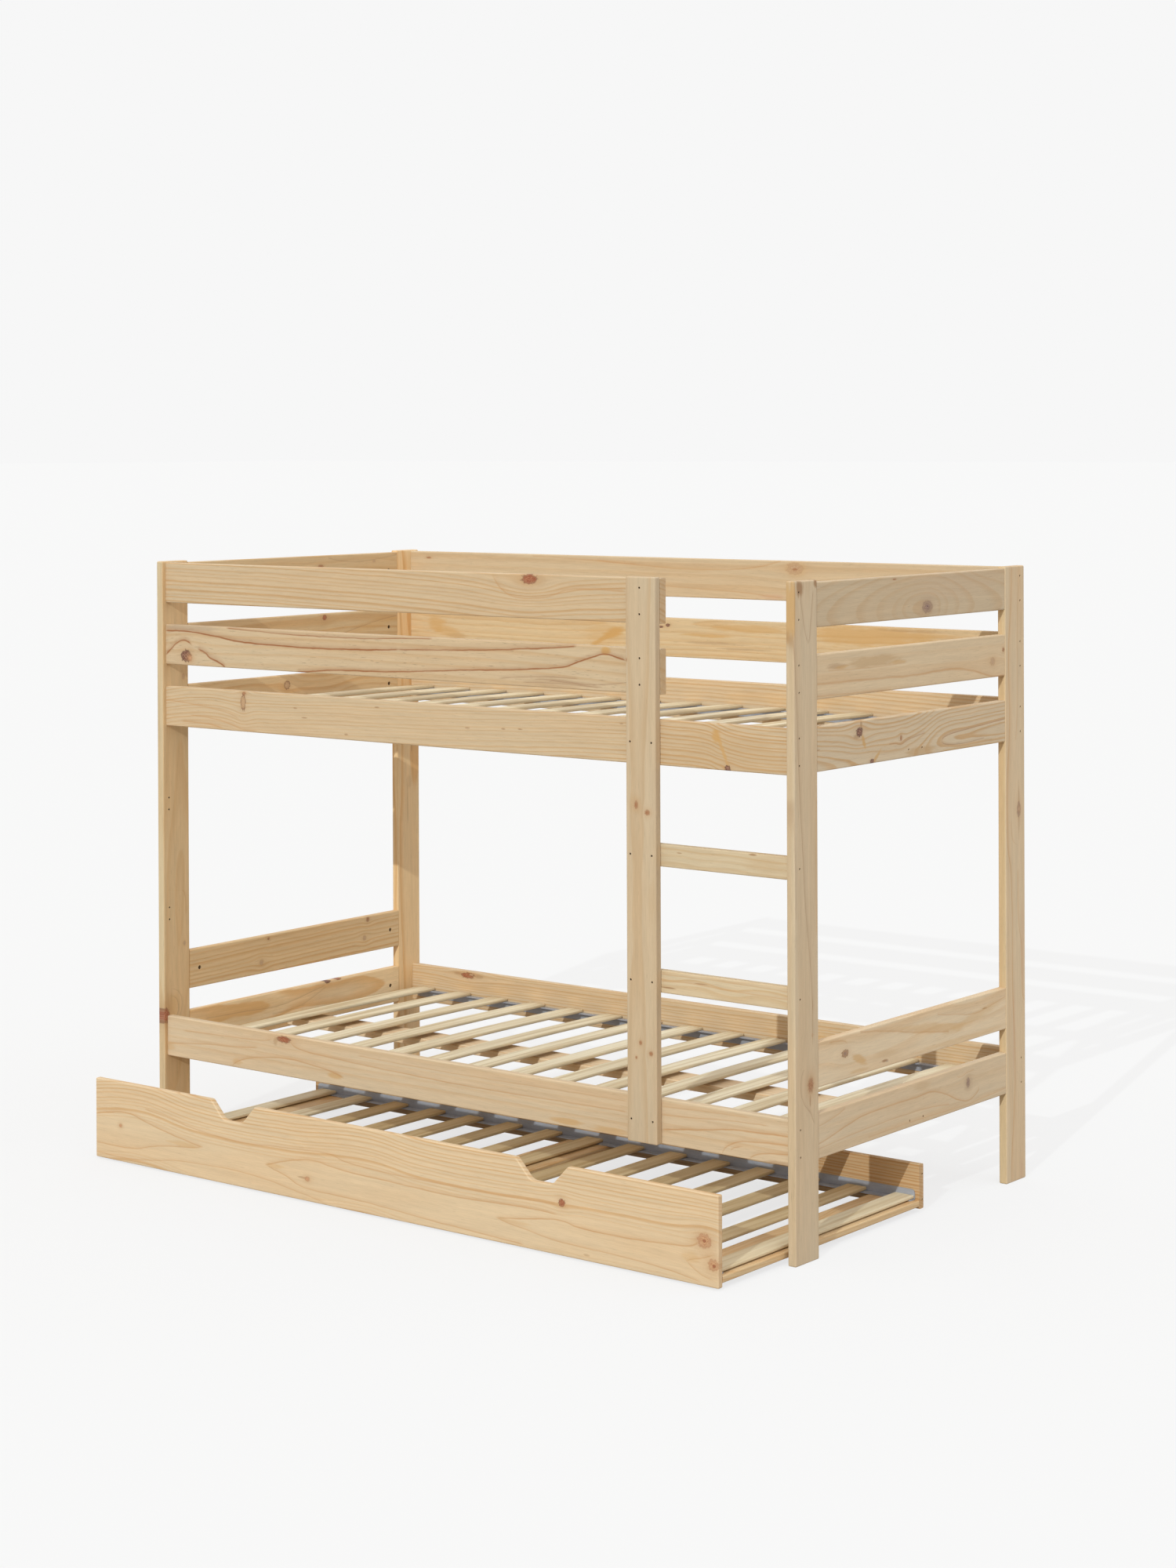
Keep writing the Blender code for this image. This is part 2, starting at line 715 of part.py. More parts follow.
def make_trundle_slats(material, into, slide):
    margins = (TRUNDLE_SLAT_LEFT_MARGIN, TRUNDLE_SLAT_RIGHT_MARGIN)
    lefts = slat_lefts(-TRUNDLE_HALF, TRUNDLE_HALF, *margins, TRUNDLE_SLATS)
    long = TRUNDLE_INNER_DEPTH - 2 * (ANGLE_THICK + 2 * TOUCH_GAP)
    height = TRUNDLE_SHELF_TOP + TOUCH_GAP + SLAT_THICK / 2
    for number, left in enumerate(lefts, start=1):
        size = (SLAT_WIDE, long, SLAT_THICK)
        centre = (left + SLAT_WIDE / 2, cross_board_middle(), height)
        board(f"trundle_slat_{number:02d}", size, centre, material, into, Y_AXIS, slide, SLAT_ROUNDING)


def make_trundle_angles(material, into, slide):
    length = 2 * (TRUNDLE_HALF - TRUNDLE_ANGLE_INSET)
    rear = PANEL_THICK + TRUNDLE_INNER_DEPTH - TOUCH_GAP
    shelf_bottom = CROSS_BOARD_TOP + TOUCH_GAP
    for name, y, side in (("front", PANEL_THICK + TOUCH_GAP, 1), ("back", rear, -1)):
        full_name = f"trundle_angle_{name}"
        mesh = angle_mesh(full_name, length, TRUNDLE_ANGLE_SHELF, TRUNDLE_ANGLE_UPRIGHT)
        turn = (math.radians(90), 0, math.radians(90) * side)
        place(full_name, mesh, material, (0, y, shelf_bottom), into, slide, turn)


# Castors


def wheel_mesh(name):
    """The section of one wheel beside its axis, for a turn about Z."""
    half = WHEEL_WIDE / 2
    bore = AXLE_RADIUS + AXLE_CLEARANCE
    section = [
        (WHEEL_RADIUS - WHEEL_CHAMFER, half),
        (WHEEL_RADIUS, half - WHEEL_CHAMFER),
        (WHEEL_RADIUS, WHEEL_CHAMFER - half),
        (WHEEL_RADIUS - WHEEL_CHAMFER, -half),
        (bore, -half),
        (bore, half),
    ]
    bm = bmesh.new()
    verts = [bm.verts.new((x, 0, z)) for x, z in section]
    for index, vert in enumerate(verts):
        bm.edges.new((verts[index - 1], vert))
    return mesh_from(bm, name)


def make_wheel(name, location, material, into, slide):
    across = (0, math.radians(90), 0)
    obj = place(name, wheel_mesh(name), material, location, into, slide, across)
    turning = obj.modifiers.new("turned_section", "SCREW")
    turning.steps = WHEEL_SIDES
    turning.render_steps = WHEEL_SIDES
    turning.use_merge_vertices = True
    turning.merge_threshold = WELD_DISTANCE
    turning.use_smooth_shade = False


def make_housing(name, location, material, into, cutters, slide):
    """A steel cup that is open below, its flange under the board and the axle across it."""
    cup = cup_size()
    middle = Z_AXIS * (cup.z / 2 - CUP_DROP)
    bm = bmesh.new()
    add_block(bm, cup, middle, CUP_ROUNDING, Z_AXIS)
    obj = place(name, mesh_from(bm, name), material, location, into, slide)

    flange_top = CROSS_BOARD_FLOOR_GAP - TOUCH_GAP - WHEEL_RADIUS
    flange_size = (cup.x, cup.y + 2 * FLANGE_REACH, FLANGE_THICK)
    bm = bmesh.new()
    add_block(bm, flange_size, (0, 0, flange_top - FLANGE_THICK / 2), CUP_ROUNDING, Z_AXIS)
    reshape(obj, "UNION", "flange", bm, cutters)

    roof = WHEEL_RADIUS + CUP_TOP_CLEARANCE
    floor = -CUP_DROP - CUT_OVERRUN
    hollow = (cup.x - 2 * CUP_WALL, cup.y - 2 * CUP_WALL, roof - floor)
    bm = bmesh.new()
    add_block(bm, hollow, (0, 0, (roof + floor) / 2))
    reshape(obj, "DIFFERENCE", "hollow", bm, cutters)

    bm = bmesh.new()
    add_cylinder(bm, (0, 0, 0), X_AXIS, AXLE_RADIUS, hollow[0] + 2 * AXLE_SEAT, HOLE_SIDES)
    reshape(obj, "UNION", "axle", bm, cutters)


def make_castors(steel, nylon, into, cutters, slide):
    for name, location in castor_places().items():
        make_housing(f"castor_housing_{name}", location, steel, into, cutters, slide)
        make_wheel(f"castor_wheel_{name}", location, nylon, into, slide)


# The whole bed


def make_frame(bed, cutters, slat, steel):
    """Everything but the trundle, built about the frame's own middle."""
    make_legs(leg_pine(), bed, cutters)
    rail = rail_pine()
    make_side_rails(rail, bed)
    make_beams(rail, bed)
    make_end_rails(end_rail_pine(), bed, cutters)
    ladder = ladder_pine()
    make_post(ladder, bed, cutters)
    make_rungs(ladder, bed)
    make_bed_base("lower_slat_base", LOW_RAIL_Z, slat, steel, bed, cutters)
    make_bed_base("upper_slat_base", BED_RAIL_Z, slat, steel, bed, cutters)
    pieces = list(bed.objects)
    carry(empty("frame_middle", (0, FRAME_MIDDLE_Y, 0), bed), pieces)


def make_trundle(bed, cutters, slat, steel):
    """The trundle, built back from the middle of its front face."""
    slide = empty("trundle_slide", (0, TRUNDLE_FRONT_Y, 0), bed)
    trundle = trundle_pine()
    make_panel(trundle, bed, slide)
    make_back(trundle, bed, cutters, slide)
    make_cross_boards(trundle, bed, cutters, slide)
    make_trundle_angles(steel, bed, slide)
    make_trundle_slats(slat, bed, slide)
    make_castors(castor_steel(), castor_nylon(), bed, cutters, slide)


def main():
    clear_scene()
    bed = collection("triple_bunk_bed")
    cutters = collection("cutters")
    slat = slat_birch()
    steel = angle_steel()
    make_frame(bed, cutters, slat, steel)
    make_trundle(bed, cutters, slat, steel)


main()
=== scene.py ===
"""Looks of the triple bunk bed: pine boards, each with its own grain and knots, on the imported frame.

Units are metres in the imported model's own frame: X along the bed, +Y to its back, +Z up. The
features of a board's grain are given in millimetres, with Y counted from the middle of the bed.
"""

import math
import random

import bmesh
import bpy
from mathutils import Matrix, Vector


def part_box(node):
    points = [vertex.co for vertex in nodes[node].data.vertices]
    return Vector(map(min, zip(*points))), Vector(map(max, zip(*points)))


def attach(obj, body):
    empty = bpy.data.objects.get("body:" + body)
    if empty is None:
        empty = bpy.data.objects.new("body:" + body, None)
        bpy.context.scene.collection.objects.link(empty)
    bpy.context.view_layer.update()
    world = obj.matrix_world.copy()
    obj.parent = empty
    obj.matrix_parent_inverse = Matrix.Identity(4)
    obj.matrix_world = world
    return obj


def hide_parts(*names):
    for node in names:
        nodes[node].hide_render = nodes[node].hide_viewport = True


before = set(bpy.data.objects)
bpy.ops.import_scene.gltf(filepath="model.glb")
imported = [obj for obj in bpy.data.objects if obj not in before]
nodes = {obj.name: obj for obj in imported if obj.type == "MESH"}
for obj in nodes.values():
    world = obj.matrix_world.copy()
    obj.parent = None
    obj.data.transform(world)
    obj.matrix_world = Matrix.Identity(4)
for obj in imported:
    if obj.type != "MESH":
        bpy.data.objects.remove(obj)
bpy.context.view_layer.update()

MM = 0.001
FRAME_MIDDLE = (0.0, 0.1195, 0.0)

# Camera
CAMERA_PLACE = (4.5404, -5.5138, 1.7621)
CAMERA_YAW = 37.707
CAMERA_PITCH = -0.4142
CAMERA_ROLL = -0.2251
CAMERA_LENS = 67.516
CAMERA_SENSOR = 36.0
CAMERA_SHIFT = (-0.0309, -0.2049)

# Light
KEY_FROM = (0.542, -2.0, 1.054)
KEY_STRENGTH = 1.62
KEY_COLOUR = (0.94, 1.0, 1.0)
KEY_SIZE = 0.5
FILL_WARM = (0.660, 0.632, 0.595)
FILL_COOL = (0.950, 1.000, 1.060)
FILL_TURN = (-0.1, 0.8)
FILL_LOW = 0.30
FILL_RISE = 1.60
BACKGROUND = 0.930
FLOOR_SIZE = 400.0
FLOOR_COLOUR = (0.420, 0.380, 0.330)
FLOOR_SEEN_SHARE = 0.16
FLOOR_SEEN_GLOW = (0.745, 0.745, 0.745)

# Pine colours, linear
EARLY = (0.645, 0.490, 0.312)
LATE = (0.565, 0.345, 0.162)
FLUSH = (0.650, 0.460, 0.272)
# Tones scale each board's colours together with its bright; both were matched to each board where it
# stands, so on some boards they paint light or shade as well.
TONES = {
    "fair": (1.00, 1.00, 1.00),
    "straw": (1.00, 0.99, 0.93),
    "honey": (1.04, 0.97, 0.84),
    "milk": (0.98, 1.01, 1.06),
    "grey": (0.97, 0.98, 1.00),
    "ash": (0.94, 1.00, 1.04),
    # Painted shade: the dark warm tone of the trundle's back board, which lies in shade under the bed.
    "shade_under_bed": (1.00, 0.90, 0.78),
}
LINES = {"brown": (0.320, 0.120, 0.040), "tan": (0.520, 0.255, 0.088), "umber": (0.310, 0.165, 0.085)}
PATCHES = {
    "orange": (0.590, 0.340, 0.120),
    "tan": (0.520, 0.335, 0.165),
    "brown": (0.360, 0.200, 0.095),
    "pink": (0.600, 0.390, 0.250),
    "grey": (0.400, 0.300, 0.215),
}
# Heart, its rings, its rim, how strong the rim and the stained halo are, and how soft its edge is
KNOTS = {
    "red": ((0.300, 0.088, 0.040), (0.450, 0.190, 0.095), (0.150, 0.042, 0.018), 0.55, 0.40, 0.35),
    "ember": ((0.460, 0.200, 0.095), (0.660, 0.400, 0.215), (0.400, 0.170, 0.080), 0.55, 0.50, 0.65),
    "dark": ((0.130, 0.045, 0.030), (0.400, 0.220, 0.140), (0.070, 0.022, 0.014), 0.75, 0.40, 0.30),
    "violet": ((0.165, 0.085, 0.070), (0.380, 0.250, 0.190), (0.150, 0.075, 0.058), 0.35, 0.20, 0.85),
    "ring": ((0.470, 0.285, 0.150), (0.560, 0.365, 0.210), (0.170, 0.065, 0.028), 0.80, 0.25, 0.40),
    "soft": ((0.330, 0.140, 0.062), (0.450, 0.240, 0.120), (0.260, 0.100, 0.045), 0.40, 0.45, 0.50),
    "faint": ((0.480, 0.290, 0.160), (0.560, 0.385, 0.240), (0.400, 0.210, 0.100), 0.35, 0.25, 0.60),
}
KNOT_HALO = (0.480, 0.250, 0.105)
HOLE_SHADE = (0.055, 0.032, 0.018)

# Noise along a grain: scale along it, scale across it, detail and roughness
PINE_SWAY = (2.6, 9.0, 2.0, 0.45)
PINE_SHIVER = (11.0, 45.0, 2.0, 0.5)
PINE_FLUSH = (1.6, 9.0, 2.0, 0.55)
PINE_FIBRE = (22.0, 520.0, 3.0, 0.6)
PINE_STREAK = (4.5, 95.0, 2.0, 0.5)
PINE_DASH = (42.0, 640.0, 1.0, 0.4)
PATCH_EDGE = (18.0, 130.0, 3.0, 0.6)
LINE_RIPPLE = (28.0, 70.0, 2.0, 0.5)
LINE_WEAR = (9.0, 40.0, 1.0, 0.5)
SLAT_SWAY = (1.8, 14.0, 2.0, 0.5)
SLAT_FIBRE = (16.0, 480.0, 3.0, 0.6)
SLAT_STREAK = (2.0, 60.0, 2.0, 0.55)
METAL_CLOUD = (18.0, 60.0, 3.0, 0.6)

# Pine grain: spans are where a change begins and ends, other pairs are a slope and a start
SEEDS = (5.0, 95.0)
SEED_ASIDE = 1.7
SHIVER_REACH = 0.004
DRIFT_REACH = 1.5
DRIFT_SCALE = 0.55
RING_STRENGTH = (0.55, 0.45)
RING_RISE = (0.38, 0.86)
RING_FALL = (0.90, 1.0)
FLUSH_SPAN = (0.38, 0.66)
FLUSH_SHARE = 0.55
DASH_SPAN = (0.67, 0.78)
FIBRE_LIGHT = (0.30, 0.85)
STREAK_LIGHT = (0.22, 0.89)
DASH_LIGHT = (-0.42, 1.0)
FIBRE_ROUGH = (0.16, 0.50)
LATE_ROUGH = -0.06
LATE_HEIGHT = 0.5
FIBRE_HEIGHT = 0.6
END_SPAN = (0.75, 0.98)
END_SHARE = 0.35
NARROW_FACE_LIGHT_SPAN = (0.6, 0.9)
HOLE_SPAN = (0.0010, 0.0016)
WOOD_GLOSS = 0.35
PINE_BUMP = (0.25, 0.0006)

# Knots, patches and lines; the knots' own noise is its detail, roughness and scale
THROUGH = 1.0e6
PUSH_FALL = (0.30, 0.42, 0.0)
KNOT_NOISE = (3.0, 0.65, 2.2)
KNOT_MIDDLE = 0.42
KNOT_INNER = 0.98
KNOT_OUTER = (0.3, 0.95)
RAGGED_REACH = 1.3
RIM_AT = 0.88
RIM_WIDE = 0.22
HALO_FALL = 0.40
KNOT_TURNS = 13.0
KNOT_TWIST = 7.0
PATCH_SPAN = (0.45, 1.15)
LINE_TAIL = 4.0
LINE_SHADE = 0.35
LINE_START = 0.001
WEAR_LIGHT = (0.8, 0.6)
FADE_OUTSIDE = 0.004
FADE_INSIDE = 0.006

# How far a board's curves can reach to either side
PITH_RANGE = 0.30
DEPTH_RANGE = 0.20
LINE_RANGE = 0.12
CONTRAST_RANGE = 2.0

# A figure drawn for a board: how far aside and how deep its pith lies, and how it wanders
PITH_ASIDE = (0.02, 0.11)
PITH_WANDER = 0.010
PITH_STEPS = 5
DEPTH_START = (0.03, 0.07)
DEPTH_SLOPE = (-0.02, 0.03)
DEPTH_WANDER = 0.007
DEPTH_STEPS = 6
LEAST_DEPTH = 0.012

FIRST_SEED = 100
AXES = {"X": 0, "Y": 1, "Z": 2}
VECTORS = ("Place", "Centre", "Size")
COLOURS = ("Colour", "Early", "Late", "Flush", "Wood", "Tint", "Heart", "Rings", "Edge")


# Shader graphs


class Graph:
    """Builds shader nodes in one tree."""

    def __init__(self, tree):
        self.tree = tree

    def node(self, kind, values=None, **settings):
        made = self.tree.nodes.new("ShaderNode" + kind)
        for name, value in settings.items():
            setattr(made, name, value)
        for key, value in (values or {}).items():
            self.put(made.inputs[key], value)
        return made

    def put(self, socket, value):
        if isinstance(value, bpy.types.NodeSocket):
            self.tree.links.new(value, socket)
        elif socket.type == "RGBA":
            socket.default_value = (*value[:3], 1.0)
        else:
            socket.default_value = value

    def math(self, operation, *values, clamp=False):
        made = self.node("Math", operation=operation, use_clamp=clamp)
        for index, value in enumerate(values):
            self.put(made.inputs[index], value)
        return made.outputs[0]

    def times(self, first, second, clamp=False):
        return self.math("MULTIPLY", first, second, clamp=clamp)

    def plus(self, first, second):
        return self.math("ADD", first, second)

    def minus(self, first, second):
        return self.math("SUBTRACT", first, second)

    def absolute(self, value):
        return self.math("ABSOLUTE", value)

    def linear(self, value, slope, start, clamp=False):
        return self.math("MULTIPLY_ADD", value, slope, start, clamp=clamp)

    def bell(self, distance, fall):
        """1 at no distance, less and less away from there."""
        return self.math("EXPONENT", self.times(self.times(distance, distance), -fall))

    def vector(self, operation, first, second=(0, 0, 0)):
        made = self.node("VectorMath", {0: first, 1: second}, operation=operation)
        return made.outputs["Value" if operation == "LENGTH" else "Vector"]

    def join(self, x, y, z):
        return self.node("CombineXYZ", {0: x, 1: y, 2: z}).outputs[0]

    def split(self, vector):
        return self.node("SeparateXYZ", {0: vector}).outputs[0:3]

    def step(self, value, start, end, low=0.0, high=1.0):
        """A smooth change from low to high as the value goes from start to end."""
        values = {0: value, 1: start, 2: end, 3: low, 4: high}
        return self.node("MapRange", values, interpolation_type="SMOOTHSTEP").outputs[0]

    def fall(self, value, start, end):
        return self.step(value, start, end, 1.0, 0.0)

    def noise(self, vector, detail, rough=0.5, scale=1.0):
        values = {"Vector": vector, "Scale": scale, "Detail": detail, "Roughness": rough}
        return self.node("TexNoise", values).outputs[0]

    def grain(self, place, kind, offset=(0, 0, 0), axis=0):
        """Noise drawn out along one axis."""
        along, across, detail, rough = kind
        scales = [across] * 3
        scales[axis] = along
        scaled = self.vector("MULTIPLY", place, scales)
        return self.noise(self.vector("ADD", scaled, offset), detail, rough)

    def draw(self, number):
        """A white noise node: one random value and colour for each whole number."""
        return self.node("TexWhiteNoise", {"W": number}, noise_dimensions="1D").outputs

    def mix(self, factor, first, second):
        return self.node("Mix", {0: factor, 6: first, 7: second}, data_type="RGBA").outputs[2]

    def lit(self, colour, light):
        return self.vector("MULTIPLY", colour, self.join(light, light, light))

    def socket(self, name, way):
        """Adds a group's socket, a vector, colour or number by its name."""
        kind = "Vector" if name in VECTORS else "Color" if name in COLOURS else "Float"
        self.tree.interface.new_socket(name, in_out=way, socket_type="NodeSocket" + kind)

    def curve(self, value, points, reach):
        """A smooth curve through points of (share of the length, height), heights within the reach."""
        made = self.node("FloatCurve", {"Value": value})
        line = made.mapping.curves[0]
        placed = [(share, 0.5 + height / (2 * reach)) for share, height in points]
        line.points[0].location = placed[0]
        line.points[1].location = placed[-1]
        for share, height in placed[1:-1]:
            line.points.new(share, height)
        made.mapping.update()
        return self.linear(made.outputs[0], 2 * reach, -reach)

    def fill(self, tree, **values):
        return self.node("Group", values, node_tree=tree).outputs

    def finish(self, colour, rough, height, bump):
        """Gives the shader its colour, its roughness and a bump of (strength, distance)."""
        shader = self.tree.nodes["Principled BSDF"]
        relief = self.node("Bump", {"Height": height, "Strength": bump[0], "Distance": bump[1]})
        self.put(shader.inputs["Base Color"], colour)
        self.put(shader.inputs["Roughness"], rough)
        self.put(shader.inputs["Normal"], relief.outputs[0])
        return shader


def new_material(name):
    material = bpy.data.materials.new(name)
    material.use_nodes = True
    return material, Graph(material.node_tree)


def new_group(name, inputs):
    """A node group's graph, and its inputs in order."""
    graph = Graph(bpy.data.node_groups.new(name, "ShaderNodeTree"))
    names = inputs.split()
    for socket in names:
        graph.socket(socket, "INPUT")
    return graph, graph.tree.nodes.new("NodeGroupInput").outputs[0 : len(names)]


def end_group(graph, **results):
    for socket in results:
        graph.socket(socket, "OUTPUT")
    sink = graph.tree.nodes.new("NodeGroupOutput")
    for socket, value in results.items():
        graph.put(sink.inputs[socket], value)
    return graph.tree


def make_pine_group():
    """Solid pine: growth rings round a pith, fibres, resin dashes and soft changes of tone."""
    names = "Place Pith Depth Ring Wobble Calm Contrast Seed Dashes Early Late Flush"
    graph, inputs = new_group("pine", names)
    place, pith, depth, ring, wobble, calm, contrast, seed, dashes, early_wood, late_wood, flushed = inputs
    offset = graph.join(seed, graph.times(seed, SEED_ASIDE), 0.0)
    across, deep = graph.split(place)[1:3]
    sway = graph.times(graph.minus(graph.grain(place, PINE_SWAY, offset), 0.5), wobble)
    shiver = graph.times(graph.minus(graph.grain(place, PINE_SHIVER, offset), 0.5), SHIVER_REACH)
    side = graph.minus(across, pith)
    down = graph.plus(deep, depth)
    square = graph.linear(down, down, graph.times(side, side))
    radius = graph.plus(graph.plus(graph.math("SQRT", square), sway), shiver)
    count = graph.math("DIVIDE", radius, ring)
    drift = graph.noise(graph.join(graph.times(count, DRIFT_SCALE), seed, 3.0), 1.0)
    count = graph.linear(drift, DRIFT_REACH, count)
    share = graph.math("FRACT", count)
    draw = graph.draw(graph.plus(graph.math("FLOOR", count), seed))[0]
    late = graph.times(graph.step(share, *RING_RISE), graph.fall(share, *RING_FALL))
    late = graph.times(late, graph.linear(draw, *RING_STRENGTH))
    late = graph.times(late, graph.step(graph.absolute(side), graph.times(calm, 0.5), calm))
    late = graph.times(late, contrast, clamp=True)

    flush = graph.step(graph.grain(place, PINE_FLUSH, offset), *FLUSH_SPAN)
    fibre = graph.grain(place, PINE_FIBRE, offset)
    streak = graph.grain(place, PINE_STREAK, offset)
    dash = graph.times(graph.step(graph.grain(place, PINE_DASH, offset), *DASH_SPAN), dashes)

    colour = graph.mix(graph.times(flush, FLUSH_SHARE), early_wood, flushed)
    colour = graph.mix(late, colour, late_wood)
    light = graph.times(graph.linear(fibre, *FIBRE_LIGHT), graph.linear(streak, *STREAK_LIGHT))
    light = graph.times(light, graph.linear(dash, *DASH_LIGHT))
    rough = graph.linear(late, LATE_ROUGH, graph.linear(fibre, *FIBRE_ROUGH))
    height = graph.linear(late, LATE_HEIGHT, graph.times(fibre, FIBRE_HEIGHT))
    return end_group(
        graph, Colour=graph.lit(colour, light), Roughness=rough, Height=graph.minus(height, dash)
    )


def make_push_group():
    """How a knot pushes the grain aside."""
    graph, (place, centre, size, push) = new_group("knot_push", "Place Centre Size Push")
    away = graph.vector("SUBTRACT", place, centre)
    flat = graph.vector("DIVIDE", away, size)
    wide = graph.vector("LENGTH", graph.vector("MULTIPLY", flat, PUSH_FALL))
    pull = graph.times(graph.split(away)[1], graph.bell(wide, 1.0))
    return end_group(graph, Shift=graph.times(graph.times(pull, push), -1.0))


def make_knot_group():
    """A knot's heart with its rings, dark rim and stained halo, laid over the wood's colour."""
    names = "Place Centre Size Wood Heart Rings Edge Rim Halo Soft"
    graph, (place, centre, size, wood, heart, rings, edge, rim, halo, soft) = new_group("knot_paint", names)
    flat = graph.vector("DIVIDE", graph.vector("SUBTRACT", place, centre), size)
    rough = graph.noise(graph.vector("ADD", flat, centre), *KNOT_NOISE)
    distance = graph.linear(graph.minus(rough, KNOT_MIDDLE), RAGGED_REACH, graph.vector("LENGTH", flat))
    core = graph.fall(distance, graph.minus(KNOT_INNER, soft), graph.linear(soft, *KNOT_OUTER))
    band = graph.fall(graph.absolute(graph.minus(distance, RIM_AT)), 0.0, RIM_WIDE)
    turns = graph.linear(rough, KNOT_TWIST, graph.times(distance, KNOT_TURNS))
    turns = graph.linear(graph.math("SINE", turns), 0.5, 0.5)
    colour = graph.mix(graph.times(graph.bell(distance, HALO_FALL), halo), wood, KNOT_HALO)
    colour = graph.mix(core, colour, graph.mix(turns, heart, rings))
    return end_group(graph, Colour=graph.mix(graph.times(band, rim), colour, edge))


def make_patch_group():
    """A stain or flame in the wood: a leaning ellipse with edges that run out along the grain."""
    names = "Place Centre Size Lean Wood Tint Strength"
    graph, (place, centre, size, lean, wood, tint, strength) = new_group("patch_paint", names)
    along, across, deep = graph.split(graph.vector("SUBTRACT", place, centre))
    across = graph.minus(across, graph.times(along, lean))
    flat = graph.vector("DIVIDE", graph.join(along, across, deep), size)
    ragged = graph.minus(graph.grain(place, PATCH_EDGE), 0.5)
    distance = graph.linear(ragged, RAGGED_REACH, graph.vector("LENGTH", flat))
    mask = graph.times(graph.fall(distance, *PATCH_SPAN), strength)
    return end_group(graph, Colour=graph.mix(mask, wood, tint))


def make_line_group():
    """One strong growth line: sharp on one side, and shading off on the other."""
    names = "Place Off Width Wood Tint Strength"
    graph, (place, off, width, wood, tint, strength) = new_group("line_paint", names)
    ripple = graph.times(graph.minus(graph.grain(place, LINE_RIPPLE), 0.5), width)
    off = graph.plus(off, ripple)
    soft = graph.fall(off, 0.0, graph.times(width, LINE_TAIL))
    soft = graph.times(soft, graph.step(off, -LINE_START, 0.0))
    core = graph.fall(graph.absolute(off), 0.0, width)
    mask = graph.math("MAXIMUM", core, graph.times(soft, LINE_SHADE))
    mask = graph.times(mask, graph.linear(graph.grain(place, LINE_WEAR), *WEAR_LIGHT))
    mask = graph.times(mask, strength, clamp=True)
    return end_group(graph, Colour=graph.mix(mask, wood, tint))


PINE = make_pine_group()
PUSH = make_push_group()
KNOT = make_knot_group()
PATCH = make_patch_group()
LINE = make_line_group()


class Board:
    """Where a board lies: its grain's axis, its wide face's axis, and its box."""

    def __init__(self, low, high, grain, face):
        side = ({"X", "Y", "Z"} - {grain, face}).pop()
        self.axes = [AXES[axis] for axis in (grain, side, face)]
        self.middle = (low + high) / 2
        self.sizes = [(high - low)[axis] for axis in self.axes]
        self.zero = [self.middle[axis] - FRAME_MIDDLE[axis] for axis in self.axes]

    def share(self, along):
        return min(1.0, max(0.0, (along * MM - self.zero[0]) / self.sizes[0] + 0.5))

    def spot(self, along, across):
        return (along * MM - self.zero[0], across * MM - self.zero[1], 0.0)

    def trace(self, points):
        return [(self.share(along), self.spot(along, across)[1]) for along, across in points]

    def feature(self, place, along, across, long_half, cross_half):
        """The place that a knot's or patch's group works on, its centre and its size."""
        size = (long_half * MM, cross_half * MM, THROUGH)
        return {"Place": place, "Centre": self.spot(along, across), "Size": size}


def drawn_figure(draw):
    """A pith and depth for a board whose figure the table leaves open."""
    side = draw.choice((-1, 1)) * draw.uniform(*PITH_ASIDE)
    pith = []
    for step in range(PITH_STEPS + 1):
        pith.append((step / PITH_STEPS, side + draw.uniform(-PITH_WANDER, PITH_WANDER)))
    start = draw.uniform(*DEPTH_START)
    slope = draw.uniform(*DEPTH_SLOPE)
    depth = []
    for step in range(DEPTH_STEPS + 1):
        value = start + slope * step / DEPTH_STEPS + draw.uniform(-DEPTH_WANDER, DEPTH_WANDER)
        depth.append((step / DEPTH_STEPS, max(LEAST_DEPTH, value)))
    return pith, depth


def toned(colour, look):
    return tuple(part * look["bright"] * share for part, share in zip(colour, TONES[look["tone"]]))


def paint_line(graph, board, place, share, shift, wood, line):
    kind, width, strength, points = line
    across = graph.split(place)[1]
    off = graph.minus(across, graph.curve(share, board.trace(points), LINE_RANGE))
    start, end = board.share(points[0][0]), board.share(points[-1][0])
    there = graph.times(graph.step(share, start - FADE_OUTSIDE, start + FADE_INSIDE), strength)
    there = graph.times(graph.fall(share, end - FADE_INSIDE, end + FADE_OUTSIDE), there)
    given = {"Off": graph.plus(off, shift), "Width": width * MM, "Tint": LINES[kind]}
    return graph.fill(LINE, Place=place, Wood=wood, Strength=there, **given)["Colour"]


